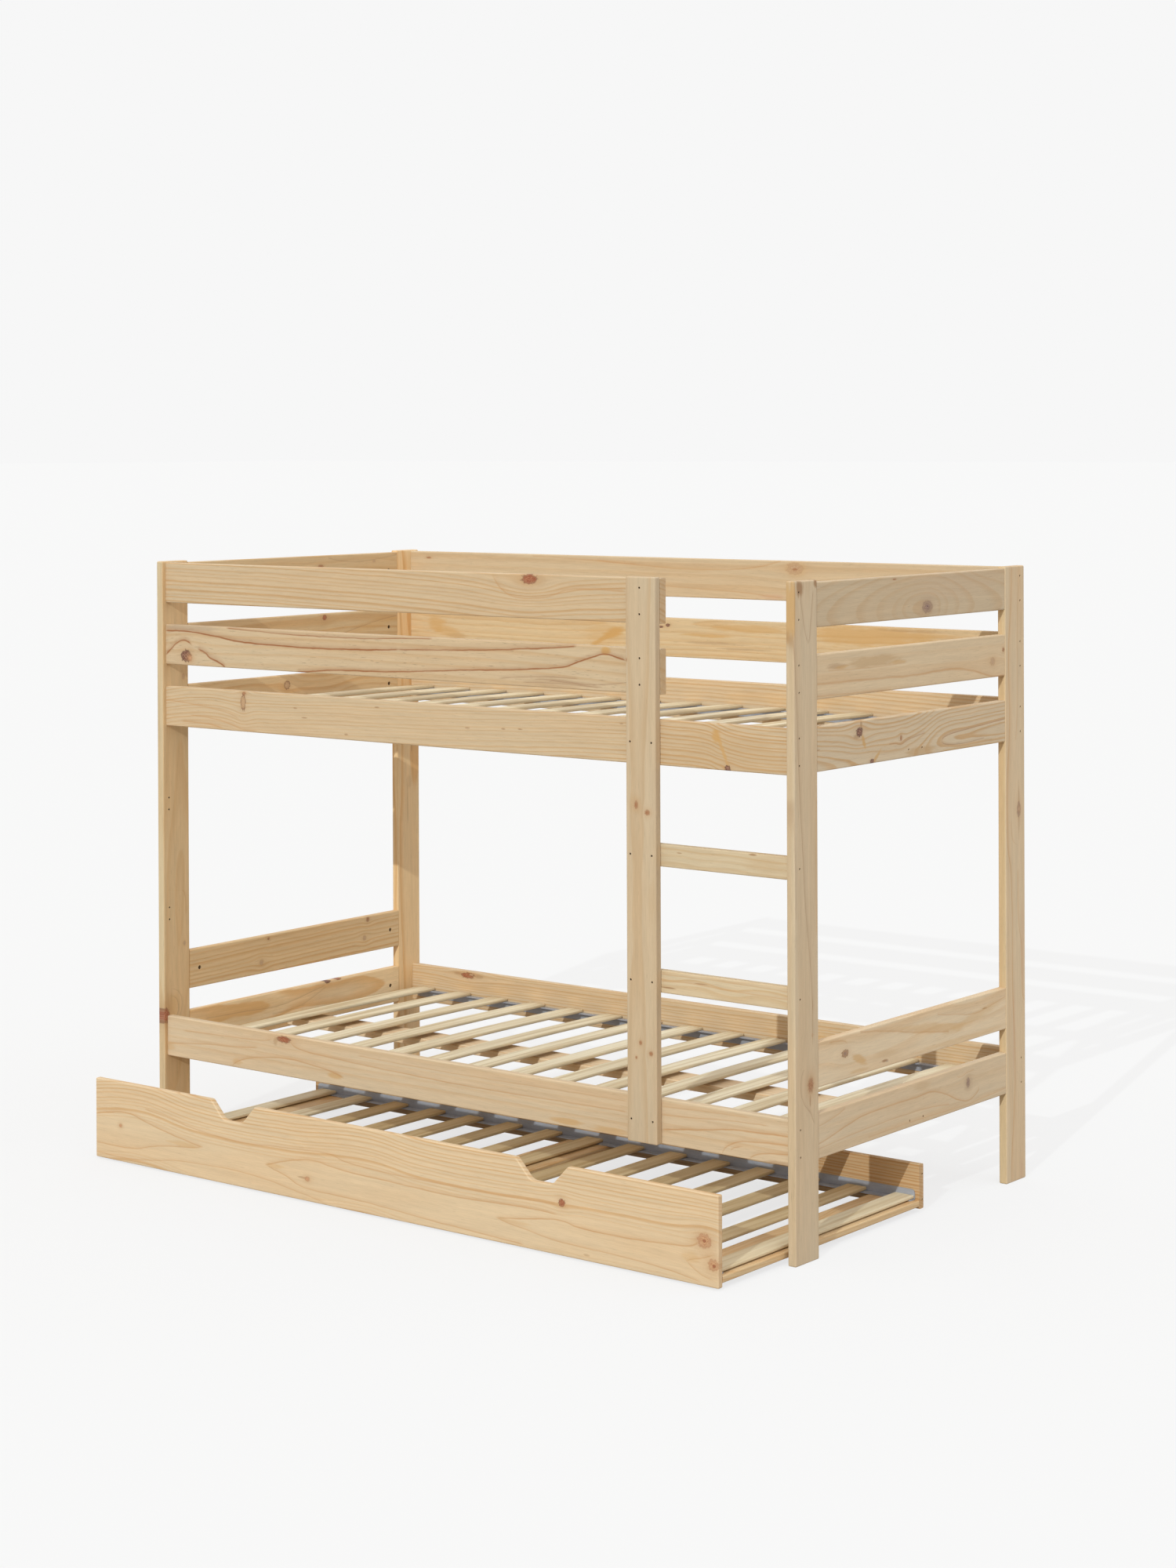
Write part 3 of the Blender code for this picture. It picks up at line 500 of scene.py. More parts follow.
def pine_material(name, board, seed, look):
    draw = random.Random(seed)
    material, graph = new_material(name)
    source = graph.node("TexCoord").outputs
    parts = graph.split(graph.vector("SUBTRACT", source["Object"], tuple(board.middle)))
    place = graph.join(*[parts[axis] for axis in board.axes])
    along, across, deep = graph.split(place)
    share = graph.linear(along, 1 / board.sizes[0], 0.5)

    pith, depth = drawn_figure(draw)
    if "pith" in look:
        pith = board.trace(look["pith"])
    if "depth" in look:
        depth = [(board.share(spot), value * MM) for spot, value in look["depth"]]
    contrast = look["contrast"]
    if "contrasts" in look:
        steps = [(board.share(spot), value) for spot, value in look["contrasts"]]
        contrast = graph.curve(share, steps, CONTRAST_RANGE)
    shift = 0.0
    for *spot, _, push in look["knots"]:
        shift = graph.plus(graph.fill(PUSH, Push=push, **board.feature(place, *spot))["Shift"], shift)

    late = toned(LATE, look)
    wood = graph.fill(
        PINE,
        Place=graph.join(along, graph.plus(across, shift), deep),
        Pith=graph.curve(share, pith, PITH_RANGE),
        Depth=graph.curve(share, depth, DEPTH_RANGE),
        Ring=look["ring"] * MM,
        Wobble=look["wobble"] * MM,
        Calm=look["calm"] * MM,
        Contrast=contrast,
        Seed=draw.uniform(*SEEDS),
        Dashes=look["dashes"],
        Early=toned(EARLY, look),
        Late=late,
        Flush=toned(FLUSH, look),
    )
    colour = wood["Colour"]
    for patch in look["patches"]:
        kind, strength, lean = (*patch[4:], 0.0)[:3]
        given = {"Tint": PATCHES[kind], "Strength": strength, "Lean": lean}
        colour = graph.fill(PATCH, Wood=colour, **given, **board.feature(place, *patch[:4]))["Colour"]
    for line in look["lines"]:
        colour = paint_line(graph, board, place, share, shift, colour, line)
    for *spot, kind, _ in look["knots"]:
        given = dict(zip(("Heart", "Rings", "Edge", "Rim", "Halo", "Soft"), KNOTS[kind]))
        colour = graph.fill(KNOT, Wood=colour, **given, **board.feature(place, *spot))["Colour"]
    # Painted shade: the inside of each drilled hole is darkened.
    if look["holes"]:
        depths = []
        for size, part in zip(board.sizes, (along, across, deep)):
            depths.append(graph.minus(size / 2, graph.absolute(part)))
        inside = graph.math("MINIMUM", graph.math("MINIMUM", depths[0], depths[1]), depths[2])
        colour = graph.mix(graph.step(inside, *HOLE_SPAN, 0.0, look["holes"]), colour, HOLE_SHADE)
    facing = graph.split(source["Normal"])
    # Painted light: the narrow faces are tinted apart from the wide ones for the different light on that
    # side.
    if "edge" in look:
        narrow_face_light = graph.step(graph.absolute(facing[board.axes[1]]), *NARROW_FACE_LIGHT_SPAN)
        colour = graph.mix(narrow_face_light, colour, graph.vector("MULTIPLY", colour, look["edge"]))
    end = graph.step(graph.absolute(facing[board.axes[0]]), *END_SPAN)
    colour = graph.mix(graph.times(end, END_SHARE), colour, late)
    shader = graph.finish(colour, wood["Roughness"], wood["Height"], PINE_BUMP)
    shader.inputs["Specular IOR Level"].default_value = WOOD_GLOSS
    return material


def dress(name, material):
    """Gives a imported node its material."""
    mesh = nodes[name].data
    mesh.materials.clear()
    mesh.materials.append(material)


def dress_board(name, grain, face, seed):
    low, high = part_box(name)
    look = {**PLAIN_LOOK, **LOOKS[name]}
    dress(name, pine_material(f"pine_{name}", Board(low, high, grain, face), seed, look))


# Looks of the boards, in millimetres. Pith and depth say where the log's heart lies at places along
# the board, and contrasts how strong the rings are there. Nearer to the pith than calm there are no
# rings. A knot is (along, across, half length, half width, kind, push on the grain), a patch (along,
# across, half length, half width, kind, strength, lean if any) and a line (kind, width, strength,
# points). Holes is how dark the painted shade inside a hole is, and edge tints the narrow faces as
# painted light, for the different light that falls on them.

PLAIN_LOOK = dict(
    tone="fair", bright=1.0, ring=9.0, contrast=0.7, wobble=14.0, calm=0.1, dashes=0.35, holes=0.85,
    knots=(), patches=(), lines=(),
)
LOOKS = {}
LOOKS["front_guard_top"] = dict(
    ring=10.5, contrast=1.02, wobble=5, bright=0.95,
    pith=[(-959, 1262), (-500, 1255), (0, 1238), (230, 1222), (400, 1234), (615, 1242)],
    depth=[(-959, 40), (615, 55)],
    knots=[(240, 1449, 27, 13, "red", 1.1)],
    lines=[("tan", 4.4, 0.45, [(130, 1452), (158, 1430), (190, 1415), (240, 1411), (300, 1418), (345, 1429),
            (400, 1431), (515, 1429)])],
)
LOOKS["front_guard_mid"] = dict(
    ring=23, contrast=0.6, dashes=0.95, wobble=10, bright=0.95,
    pith=[(-959, 1120), (0, 1130), (615, 1110)],
    depth=[(-959, 40), (615, 55)],
    knots=[(-886, 1227, 21, 17, "dark", 0.5), (-872, 1222, 9, 9, "ember", 0.2)],
    patches=[(461, 1294, 16, 12, "orange", 0.9), (480, 1272, 60, 12, "tan", 0.25),
        (-870, 1298, 110, 10, "grey", 0.45), (330, 1214, 130, 10, "brown", 0.22),
        (-180, 1208, 420, 14, "tan", 0.25)],
    lines=[("brown", 3.9, 1.0, [(-959, 1287), (-800, 1281), (-750, 1276), (-700, 1270), (-600, 1266),
            (-480, 1264), (-300, 1266), (-165, 1271)]),
        ("brown", 3.6, 0.87, [(-165, 1271), (0, 1277), (100, 1281), (200, 1287), (300, 1294), (375, 1301)]),
        ("brown", 2.5, 0.77, [(-740, 1302), (-640, 1298), (-550, 1294.5), (-400, 1293), (-250, 1294),
            (-165, 1298), (-60, 1301)]),
        ("brown", 3.3, 0.98, [(-500, 1203), (-450, 1207), (-380, 1213), (-250, 1216), (-165, 1219),
            (-50, 1226), (50, 1232.5), (200, 1240), (250, 1244), (330, 1251), (380, 1265), (430, 1280),
            (462, 1286), (490, 1281), (516, 1276)]),
        ("brown", 4.5, 1.0, [(-959, 1228), (-935, 1242), (-915, 1253), (-895, 1258), (-878, 1254),
            (-868, 1248)]),
        ("brown", 4.5, 1.0, [(-842, 1241), (-820, 1236), (-800, 1226), (-772, 1217), (-745, 1203)]),
        ("umber", 2.4, 0.49, [(150, 1218), (250, 1226), (380, 1228)]),
        ("umber", 2.0, 0.49, [(300, 1220), (420, 1216), (515, 1225)]),
        ("umber", 1.5, 0.49, [(220, 1212), (330, 1214), (440, 1209)]),
        ("umber", 1.5, 0.42, [(260, 1221), (345, 1220), (400, 1213), (450, 1211)])],
)
LOOKS["front_bed_rail"] = dict(
    ring=8.6, wobble=7, bright=0.96,
    pith=[(-959, 978), (-800, 992), (-700, 985), (-400, 992), (0, 1000), (500, 1018), (640, 1016),
        (740, 1012), (775, 1001), (810, 992), (959, 985)],
    depth=[(-959, 45), (959, 30)],
    knots=[(797, 1052, 9, 8, "dark", 0.5), (-681, 1142, 8, 5, "soft", 0.5),
        (-684, 1120, 10, 22, "ring", 0.4)],
    patches=[(790, 1078, 210, 66, "tan", 0.35), (783, 1092, 22, 13, "orange", 0.7, -2.1),
        (766, 1120, 14, 16, "orange", 0.85), (-505, 1115, 8, 2, "brown", 0.7),
        (-475, 1093, 12, 2, "brown", 0.7), (-235, 1131, 9, 2, "brown", 0.7),
        (-335, 1060, 7, 3, "brown", 0.6), (160, 1102, 9, 2.5, "brown", 0.7),
        (210, 1104, 9, 2.5, "brown", 0.7), (50, 1098, 8, 2, "brown", 0.6), (505, 1133, 7, 2, "brown", 0.6)],
    lines=[("tan", 3.0, 0.54, [(-900, 1061), (-820, 1060), (-760, 1053)]),
        ("tan", 2.5, 0.48, [(-870, 1079), (-790, 1074), (-700, 1060), (-640, 1052)]),
        ("tan", 2.8, 0.42, [(-959, 1112), (-880, 1108), (-760, 1095), (-700, 1085)])],
    contrasts=[(-959, 1.05), (560, 1.05), (680, 1.9), (959, 1.9)],
)
LOOKS["front_low_rail"] = dict(
    ring=21, contrast=0.5, calm=40, wobble=6, tone="milk", bright=1.05,
    pith=[(-959, 205), (959, 200)],
    depth=[(-959, 40), (959, 40)],
    knots=[(-549, 300, 27, 9, "red", 0.4)],
    patches=[(-712, 226, 18, 10, "orange", 0.35), (-378, 233, 26, 8, "orange", 0.6),
        (-950, 233, 22, 9, "orange", 0.35), (345, 223, 48, 8, "orange", 0.6),
        (470, 219, 70, 8, "orange", 0.5), (925, 213, 40, 6, "brown", 0.45),
        (-578, 292, 8, 10, "brown", 0.4)],
    lines=[("tan", 3.2, 0.55, [(-728, 212), (-705, 228), (-650, 243), (-600, 250), (-540, 254.5),
            (-450, 249), (-380, 240), (-352, 232)]),
        ("tan", 2.8, 0.5, [(-959, 241), (-880, 250), (-800, 257), (-700, 263), (-640, 270)]),
        ("tan", 2.5, 0.4, [(-900, 280), (-760, 284), (-640, 289), (-590, 297)]),
        ("tan", 3.0, 0.5, [(-524, 296), (-490, 284), (-420, 277), (-300, 272), (-165, 268), (60, 264),
            (300, 266), (515, 268)]),
        ("tan", 2.5, 0.38, [(-300, 291), (0, 288), (250, 290), (515, 292)]),
        ("tan", 3.5, 0.62, [(615, 243), (680, 251), (740, 259), (800, 268), (880, 272), (959, 274)]),
        ("tan", 2.5, 0.4, [(615, 275), (700, 280), (800, 287), (900, 290)]),
        ("tan", 2.5, 0.35, [(615, 293), (700, 297), (850, 301)]),
        ("tan", 3.2, 0.6, [(778, 210), (786, 226), (802, 236), (830, 246), (870, 251), (959, 255)]),
        ("tan", 2.5, 0.55, [(798, 210), (802, 224), (812, 231), (830, 235)]),
        ("tan", 3.0, 0.55, [(850, 210), (866, 222), (890, 229), (959, 236)])],
)
LOOKS["rear_guard_top"] = dict(
    ring=26, contrast=0.34, wobble=8, bright=0.95,
    pith=[(-959, 1330), (0, 1320), (959, 1318)],
    depth=[(-959, 60), (959, 50)],
    knots=[(338, 1441, 29, 17, "faint", 0.5), (338, 1439, 9, 3, "soft", 0.0),
        (-892, 1443, 10, 3, "soft", 0.2)],
    patches=[(265, 1368, 40, 8, "pink", 0.6), (-50, 1432, 160, 9, "tan", 0.25),
        (340, 1440, 40, 22, "orange", 0.2)],
    lines=[("tan", 3.0, 0.4, [(-300, 1447), (-165, 1440), (0, 1432), (110, 1433), (200, 1440),
            (300, 1455)]),
        ("tan", 2.5, 0.4, [(-100, 1388), (50, 1382), (150, 1378), (300, 1366)]),
        ("tan", 2.5, 0.35, [(-520, 1455), (-350, 1450), (-165, 1441)])],
)
LOOKS["rear_guard_mid"] = dict(
    tone="straw", ring=12, contrast=0.6, wobble=12, dashes=0.5, bright=1.01,
    knots=[(-63, 1285, 8, 4.5, "dark", 0.6), (-86, 1280, 9, 3, "dark", 0.3)],
    patches=[(-862, 1262, 38, 24, "orange", 0.6, -0.1), (-822, 1242, 56, 18, "orange", 0.5, -0.2),
        (-790, 1230, 44, 12, "tan", 0.6), (-240, 1262, 40, 16, "orange", 0.95, 0.3),
        (-275, 1243, 52, 9, "orange", 0.85, 0.45), (-385, 1222, 20, 2.5, "brown", 1),
        (-270, 1250, 80, 40, "orange", 0.34), (200, 1285, 150, 12, "orange", 0.54),
        (80, 1243, 120, 4, "brown", 0.41), (180, 1231, 90, 3, "brown", 0.41),
        (560, 1280, 240, 30, "orange", 0.68), (60, 1262, 90, 5, "orange", 0.68),
        (700, 1296, 120, 4, "brown", 0.34)],
)
LOOKS["rear_bed_rail"] = dict(
    ring=10, contrast=1.02, wobble=7, bright=1.02,
    pith=[(-959, 1000), (0, 1010), (600, 1000), (959, 990)],
    depth=[(-959, 40), (959, 55)],
    patches=[(300, 1110, 260, 16, "orange", 0.25)],
)
LOOKS["rear_low_rail"] = dict(
    ring=8.0, contrast=1.02, wobble=5, bright=1.03,
    pith=[(-959, 150), (959, 160)],
    depth=[(-959, 45), (959, 40)],
    knots=[(-756, 300, 28, 9, "red", 1.0), (-742, 303, 12, 4, "ring", 0.0)],
    patches=[(-790, 302, 16, 4, "brown", 0.5), (-715, 300, 16, 5, "brown", 0.4),
        (-700, 268, 160, 7, "orange", 0.25), (500, 270, 300, 12, "orange", 0.35)],
)
LOOKS["ladder_post"] = dict(
    ring=30, contrast=0.45, wobble=16, bright=0.93, tone="milk",
    pith=[(210, 560), (1463, 568)],
    depth=[(210, 30), (700, 44), (1463, 24)],
    knots=[(943, 592, 7, 8, "soft", 0.8), (958, 561, 10, 5.5, "soft", 0.8), (411, 600, 6, 6, "soft", 0.8),
        (432, 571, 6, 4.5, "soft", 0.8), (398, 559, 4, 3, "soft", 0.5), (1278, 534, 5, 3, "soft", 0.3)],
    patches=[(960, 558, 22, 22, "tan", 0.25), (745, 604, 60, 14, "tan", 0.2)],
)
LOOKS["rung_upper"] = dict(
    tone="ash", ring=16, contrast=0.54, wobble=8, bright=1.02,
    patches=[(665, 857.5, 9, 2.0, "brown", 0.7), (863, 870, 12, 2.4, "brown", 0.85),
        (900, 850, 60, 20, "tan", 0.25)],
)
LOOKS["rung_lower"] = dict(
    tone="ash", ring=14, contrast=0.66, wobble=6, bright=1.08,
    patches=[(725, 575.5, 26, 1.6, "brown", 0.75), (632, 557.5, 24, 2.0, "brown", 0.85)],
    lines=[("tan", 2.5, 0.4, [(615, 571), (700, 574), (800, 570), (959, 568)]),
        ("tan", 2.5, 0.35, [(615, 586), (800, 587), (959, 584)])],
)
LOOKS["leg_front_right"] = dict(
    tone="milk", ring=30, contrast=0.22, wobble=9, bright=0.99, edge=(0.98, 0.99, 0.985),
    pith=[(0, -440), (1463, -430)],
    depth=[(0, 34), (700, 50), (1463, 26)],
    knots=[(380, -425, 20, 13, "faint", 0.8), (380, -425, 16, 10, "soft", 0.0),
        (486, -418, 4, 3, "faint", 0.2)],
    patches=[(1448, -460, 22, 14, "brown", 0.9), (1457, -400, 13, 11, "brown", 0.9),
        (346, -427, 14, 3, "brown", 0.6), (520, -417, 60, 3, "brown", 0.35),
        (1400, -482, 80, 8, "orange", 0.7)],
    lines=[("umber", 2.8, 0.38, [(540, -417), (600, -421), (660, -428), (720, -437), (800, -446),
            (880, -452), (1000, -462), (1100, -468), (1200, -474), (1300, -480), (1360, -485)]),
        ("umber", 3.0, 0.34, [(295, -412), (303, -418), (325, -428), (350, -446), (380, -456), (408, -450),
            (420, -434)]),
        ("umber", 2.2, 0.47, [(1329, -430), (1340, -424), (1370, -420), (1400, -416), (1440, -410)]),
        ("umber", 2.2, 0.42, [(1329, -430), (1345, -438), (1370, -446), (1400, -452), (1430, -461)]),
        ("umber", 2.0, 0.3, [(740, -478), (900, -481), (1000, -484)]),
        ("tan", 2.8, 0.3, [(700, -401), (900, -402), (1000, -399)])],
)
LOOKS["leg_rear_right"] = dict(
    tone="grey", ring=26, contrast=0.26, wobble=9, bright=1.06, edge=(0.98, 0.96, 0.87),
    pith=[(0, 452), (1463, 440)],
    depth=[(0, 40), (700, 28), (1463, 44)],
    knots=[(883, 455, 20, 9.5, "violet", 1.1), (884, 456, 9, 6, "faint", 0.0)],
    patches=[(905, 455, 45, 4, "brown", 0.45), (855, 455, 40, 4, "brown", 0.35),
        (350, 429, 130, 6, "pink", 0.45), (20, 463, 35, 10, "pink", 0.5), (560, 470, 120, 8, "pink", 0.4)],
    lines=[("tan", 3.8, 0.45, [(0, 416), (60, 418), (130, 425), (200, 431), (250, 434), (340, 432),
            (420, 426), (500, 423), (600, 424), (740, 417), (800, 404), (880, 400), (960, 402), (1050, 411),
            (1110, 414), (1200, 410), (1280, 410), (1350, 418), (1463, 424)]),
        ("tan", 3.0, 0.38, [(425, 478), (450, 469), (500, 466), (560, 465), (600, 456), (640, 451),
            (740, 449)]),
        ("tan", 2.5, 0.3, [(800, 446), (806, 435), (822, 425), (860, 421)]),
        ("tan", 2.8, 0.3, [(1050, 441), (1100, 447), (1200, 449), (1330, 450), (1463, 459)])],
)
LOOKS["leg_front_left"] = dict(
    tone="honey", ring=20, contrast=0.42, wobble=16, bright=1.02, edge=(0.905, 1.01, 1.15),
    pith=[(0, -470), (700, -425), (1463, -450)],
    depth=[(0, 50), (330, 20), (640, 8), (900, 35), (1463, 45)],
    knots=[(312, -478, 22, 14, "red", 0.4), (487, -413, 7, 5, "faint", 0.5),
        (1168, -412, 9, 6, "faint", 0.5)],
    patches=[(330, -455, 40, 30, "orange", 0.4), (320, -470, 60, 18, "brown", 0.25)],
    lines=[("umber", 2.5, 0.4, [(300, -452), (310, -443), (325, -438), (345, -442), (356, -455),
            (362, -478)]),
        ("umber", 2.5, 0.35, [(300, -436), (315, -428), (340, -424), (362, -432), (374, -450),
            (380, -478)]),
        ("tan", 2.8, 0.45, [(560, -408), (600, -408), (625, -420), (636, -440), (630, -470)])],
)
LOOKS["leg_rear_left"] = dict(
    tone="honey", ring=16, contrast=1.44, bright=1.17,
    patches=[(760, 435, 60, 3, "brown", 0.3), (912, 452, 12, 3, "brown", 0.5),
        (820, 440, 20, 14, "brown", 0.2)],
)
LOOKS["left_end_top"] = dict(
    tone="honey", ring=20, contrast=0.6, bright=0.92,
    knots=[(92, 1430, 12, 5, "soft", 0.6), (302, 1437, 7, 4, "faint", 0.3)],
    lines=[("umber", 2.0, 0.3, [(120, 1452), (180, 1441), (260, 1438), (330, 1444), (394, 1452)])],
)
LOOKS["left_end_mid"] = dict(
    tone="honey", ring=24, contrast=0.72, bright=0.89,
    knots=[(106, 1292, 9, 8, "red", 0.8)],
    patches=[(300, 1265, 110, 14, "orange", 0.35, 0.15)],
    lines=[("umber", 2.5, 0.35, [(180, 1246), (260, 1263), (330, 1276), (394, 1284)])],
)
LOOKS["left_end_bed"] = dict(
    tone="honey", ring=14, contrast=0.72, bright=1.02,
    knots=[(-38, 1120, 13, 12, "ring", 0.9)],
    lines=[("umber", 2.0, 0.35, [(-20, 1112), (10, 1098), (40, 1092)])],
)
LOOKS["left_end_head"] = dict(
    tone="honey", ring=12, contrast=1.08, wobble=8, bright=1.03,
    pith=[(-394, 280), (394, 300)],
    depth=[(-394, 40), (394, 50)],
    knots=[(-112, 457, 5, 4, "soft", 0.5), (-138, 398, 9, 8.5, "faint", 0.8),
        (270, 458, 7, 7.5, "soft", 0.8), (257, 409, 8, 8, "faint", 0.8)],
)
# Its bright of 1.24 paints light on it, a board that stands in shade inside the left end.
LOOKS["left_end_low"] = dict(
    tone="straw", ring=16, contrast=1.02, bright=1.24,
    knots=[(112, 312, 12, 6, "dark", 0.5), (155, 313, 12, 4, "red", 0.3)],
    patches=[(-200, 280, 200, 26, "orange", 0.35), (150, 285, 120, 24, "brown", 0.2)],
    lines=[("umber", 2.5, 0.35, [(-340, 282), (-200, 279), (-80, 275), (20, 288), (100, 305)]),
        ("umber", 2.2, 0.3, [(-100, 256), (0, 262), (60, 280), (105, 300)])],
)
LOOKS["right_end_top"] = dict(
    tone="grey", ring=15, contrast=0.42, wobble=7, bright=0.92,
    pith=[(-394, 1380), (394, 1384)],
    depth=[(-394, 92), (-215, 62), (-90, 32), (40, 6), (140, 34), (235, 62), (394, 86)],
    knots=[(52, 1384, 24, 15, "violet", 0.5), (-85, 1452, 9, 2, "soft", 0.0)],
    patches=[(52, 1388, 36, 24, "grey", 0.25), (160, 1430, 200, 40, "pink", 0.15)],
)
LOOKS["right_end_mid"] = dict(
    ring=30, contrast=0.26, wobble=8, bright=1.05,
    pith=[(-394, 1180), (394, 1170)],
    depth=[(-394, 50), (394, 50)],
    knots=[(388, 1267, 6, 6, "soft", 0.5), (339, 1242, 13, 11, "faint", 0.5)],
    patches=[(-320, 1272, 46, 7, "brown", 0.45), (-170, 1274, 120, 14, "tan", 0.6),
        (-300, 1269, 30, 5, "orange", 0.5), (-70, 1266, 40, 5, "orange", 0.45)],
    lines=[("tan", 5.0, 0.5, [(-394, 1238), (-200, 1236), (0, 1233), (100, 1236), (170, 1236), (240, 1228),
            (320, 1214), (394, 1206)]),
        ("tan", 3.0, 0.45, [(-394, 1211), (-250, 1209), (-100, 1206)]),
        ("tan", 2.2, 0.3, [(-350, 1264), (-150, 1261), (-40, 1263)])],
)
LOOKS["right_end_bed"] = dict(
    tone="milk", contrast=1.32, wobble=7, holes=0.2,
    pith=[(-394, 1050), (-200, 1046), (0, 1052), (115, 1074), (250, 1078), (394, 1082)],
    depth=[(-394, 20), (-240, 34), (-60, 38), (30, 30), (115, 15), (250, 8), (394, 3)],
    knots=[(-229, 1122, 15, 11, "dark", 1.0), (-179, 1053, 9, 6, "dark", 0.8),
        (-60, 1095, 5, 7, "soft", 0.7)],
    patches=[(20, 1060, 70, 12, "tan", 0.65), (-212, 1100, 9, 12, "orange", 0.8, -1.2),
        (-222, 1138, 5, 10, "brown", 0.6), (-240, 1112, 16, 5, "brown", 0.5),
        (-160, 1062, 22, 6, "orange", 0.7, 0.8), (250, 1051, 160, 4, "orange", 0.5),
        (-390, 1096, 8, 2, "brown", 0.6)],
    lines=[("brown", 1.9, 0.5, [(-110, 1085), (-60, 1086), (-10, 1092), (40, 1099)]),
        ("brown", 2.0, 0.55, [(112, 1072), (120, 1081), (150, 1087), (200, 1091), (280, 1096),
            (394, 1103)]),
        ("umber", 1.8, 0.5, [(112, 1072), (125, 1066), (170, 1062), (250, 1063), (300, 1066)])],
)
LOOKS["right_end_head"] = dict(
    tone="milk", ring=30, contrast=0.48, wobble=12, bright=1.15,
    knots=[(-290, 425, 15, 9, "ring", 1.0), (-290, 425, 9, 5.5, "violet", 0.0)],
    patches=[(-130, 382, 16, 3.5, "brown", 0.9), (-122, 380, 8, 2, "grey", 0.9),
        (297, 433, 14, 2.2, "brown", 0.75), (-232, 402, 34, 11, "orange", 0.6, -0.35),
        (-235, 378, 44, 6, "orange", 0.35), (60, 424, 160, 14, "orange", 0.38, -0.14),
        (250, 420, 150, 12, "orange", 0.32, 0.16), (200, 378, 220, 8, "orange", 0.3),
        (-130, 398, 60, 10, "tan", 0.3), (-330, 455, 90, 6, "tan", 0.3, -0.15)],
    lines=[("tan", 3.8, 0.4, [(-230, 462), (-120, 447), (-20, 428), (60, 416), (140, 404)]),
        ("tan", 3.0, 0.4, [(-350, 458), (-300, 450), (-282, 438)]),
        ("tan", 2.8, 0.35, [(90, 450), (160, 440), (260, 428), (340, 438), (394, 447)])],
)
LOOKS["right_end_low"] = dict(
    tone="milk", ring=34, contrast=0.38, wobble=8, bright=1.03,
    pith=[(-394, 190), (394, 190)],
    depth=[(-394, 50), (394, 50)],
    knots=[(223, 272, 9, 13, "violet", 0.7)],
    patches=[(223, 272, 22, 20, "grey", 0.35), (25, 298, 40, 12, "tan", 0.35)],
    lines=[("tan", 3.0, 0.5, [(-394, 247), (-340, 256), (-280, 268), (-220, 276), (-120, 279), (0, 278),
            (60, 279), (110, 268), (150, 252), (180, 241), (225, 236), (262, 243), (275, 262)]),
        ("tan", 2.5, 0.35, [(-394, 285), (-330, 295), (-290, 306)]),
        ("tan", 2.5, 0.35, [(-394, 236), (-250, 244), (-50, 247), (50, 245), (140, 236)]),
        ("tan", 2.2, 0.3, [(-200, 224), (0, 226), (200, 223), (394, 230)]),
        ("tan", 2.0, 0.3, [(172, 303), (190, 288), (245, 292), (252, 305)])],
)
LOOKS["trundle_front"] = dict(
    ring=9.3, contrast=0.96, calm=62, wobble=5, bright=1.09, holes=0,
    pith=[(-950, 60), (-790, 74), (-600, 52), (-300, 50), (-40, 66), (120, 50), (600, 56), (950, 54)],
    depth=[(-950, 26), (950, 30)],
    knots=[(532, 119, 11, 10, "red", 0.5), (914, 99, 20, 17, "ember", 0.7), (937, 52, 15, 14, "ember", 0.6),
        (-861, 92, 6, 5, "ember", 0.2), (-229, 56, 9, 6, "ember", 0.4), (914, 99, 5, 4, "red", 0.0),
        (939, 50, 5, 4, "red", 0.0)],
    patches=[(-246, 57, 16, 2.5, "brown", 0.5), (-640, 78, 60, 8, "orange", 0.35),
        (-330, 71, 30, 6, "orange", 0.35), (600, 17, 10, 3, "brown", 0.4), (400, 56, 50, 6, "orange", 0.25),
        (880, 60, 26, 14, "orange", 0.3), (914, 99, 26, 20, "pink", 0.4)],
    lines=[("tan", 2.8, 0.62, [(-950, 110), (-900, 120), (-842, 126), (-780, 115), (-690, 97), (-630, 88),
            (-578, 80.5)]),
        ("tan", 2.5, 0.5, [(-950, 41), (-870, 40), (-810, 43), (-762, 54), (-690, 66), (-624, 73),
            (-578, 80.5)]),
        ("tan", 2.8, 0.58, [(-362, 69.8), (-330, 79), (-300, 87), (-252, 97), (-210, 102), (-150, 96),
            (-90, 91.6), (0, 89.8), (121, 87), (241, 86), (391, 92), (517, 94)]),
        ("tan", 2.5, 0.52, [(-362, 69.8), (-330, 61), (-300, 54), (-240, 36), (-180, 32.4), (-90, 32),
            (0, 29), (151, 21), (271, 17), (421, 11)]),
        ("tan", 2.5, 0.45, [(-774, 144), (-690, 134), (-600, 120), (-510, 113), (-420, 111), (-330, 117),
            (-240, 122), (-168, 125), (-108, 114), (0, 108), (200, 108), (400, 110), (515, 115)]),
        ("tan", 2.2, 0.4, [(-950, 17), (-840, 15), (-750, 23), (-660, 35), (-570, 39), (-480, 41),
            (-360, 35), (-270, 23), (-180, 11)]),
        ("tan", 2.8, 0.58, [(349, 57.5), (380, 62), (421, 67), (481, 76), (531, 81.5), (571, 74),
            (661, 71.5), (781, 75.5), (871, 87), (900, 95)]),
        ("tan", 2.5, 0.5, [(349, 57.5), (380, 51), (421, 46.5), (511, 35), (601, 32), (691, 30.5),
            (781, 26), (901, 16)]),
        ("tan", 2.2, 0.5, [(868, 55), (880, 62), (900, 68), (935, 75)]),
        ("tan", 2.2, 0.5, [(868, 55), (885, 44), (905, 36), (935, 29)])],
)
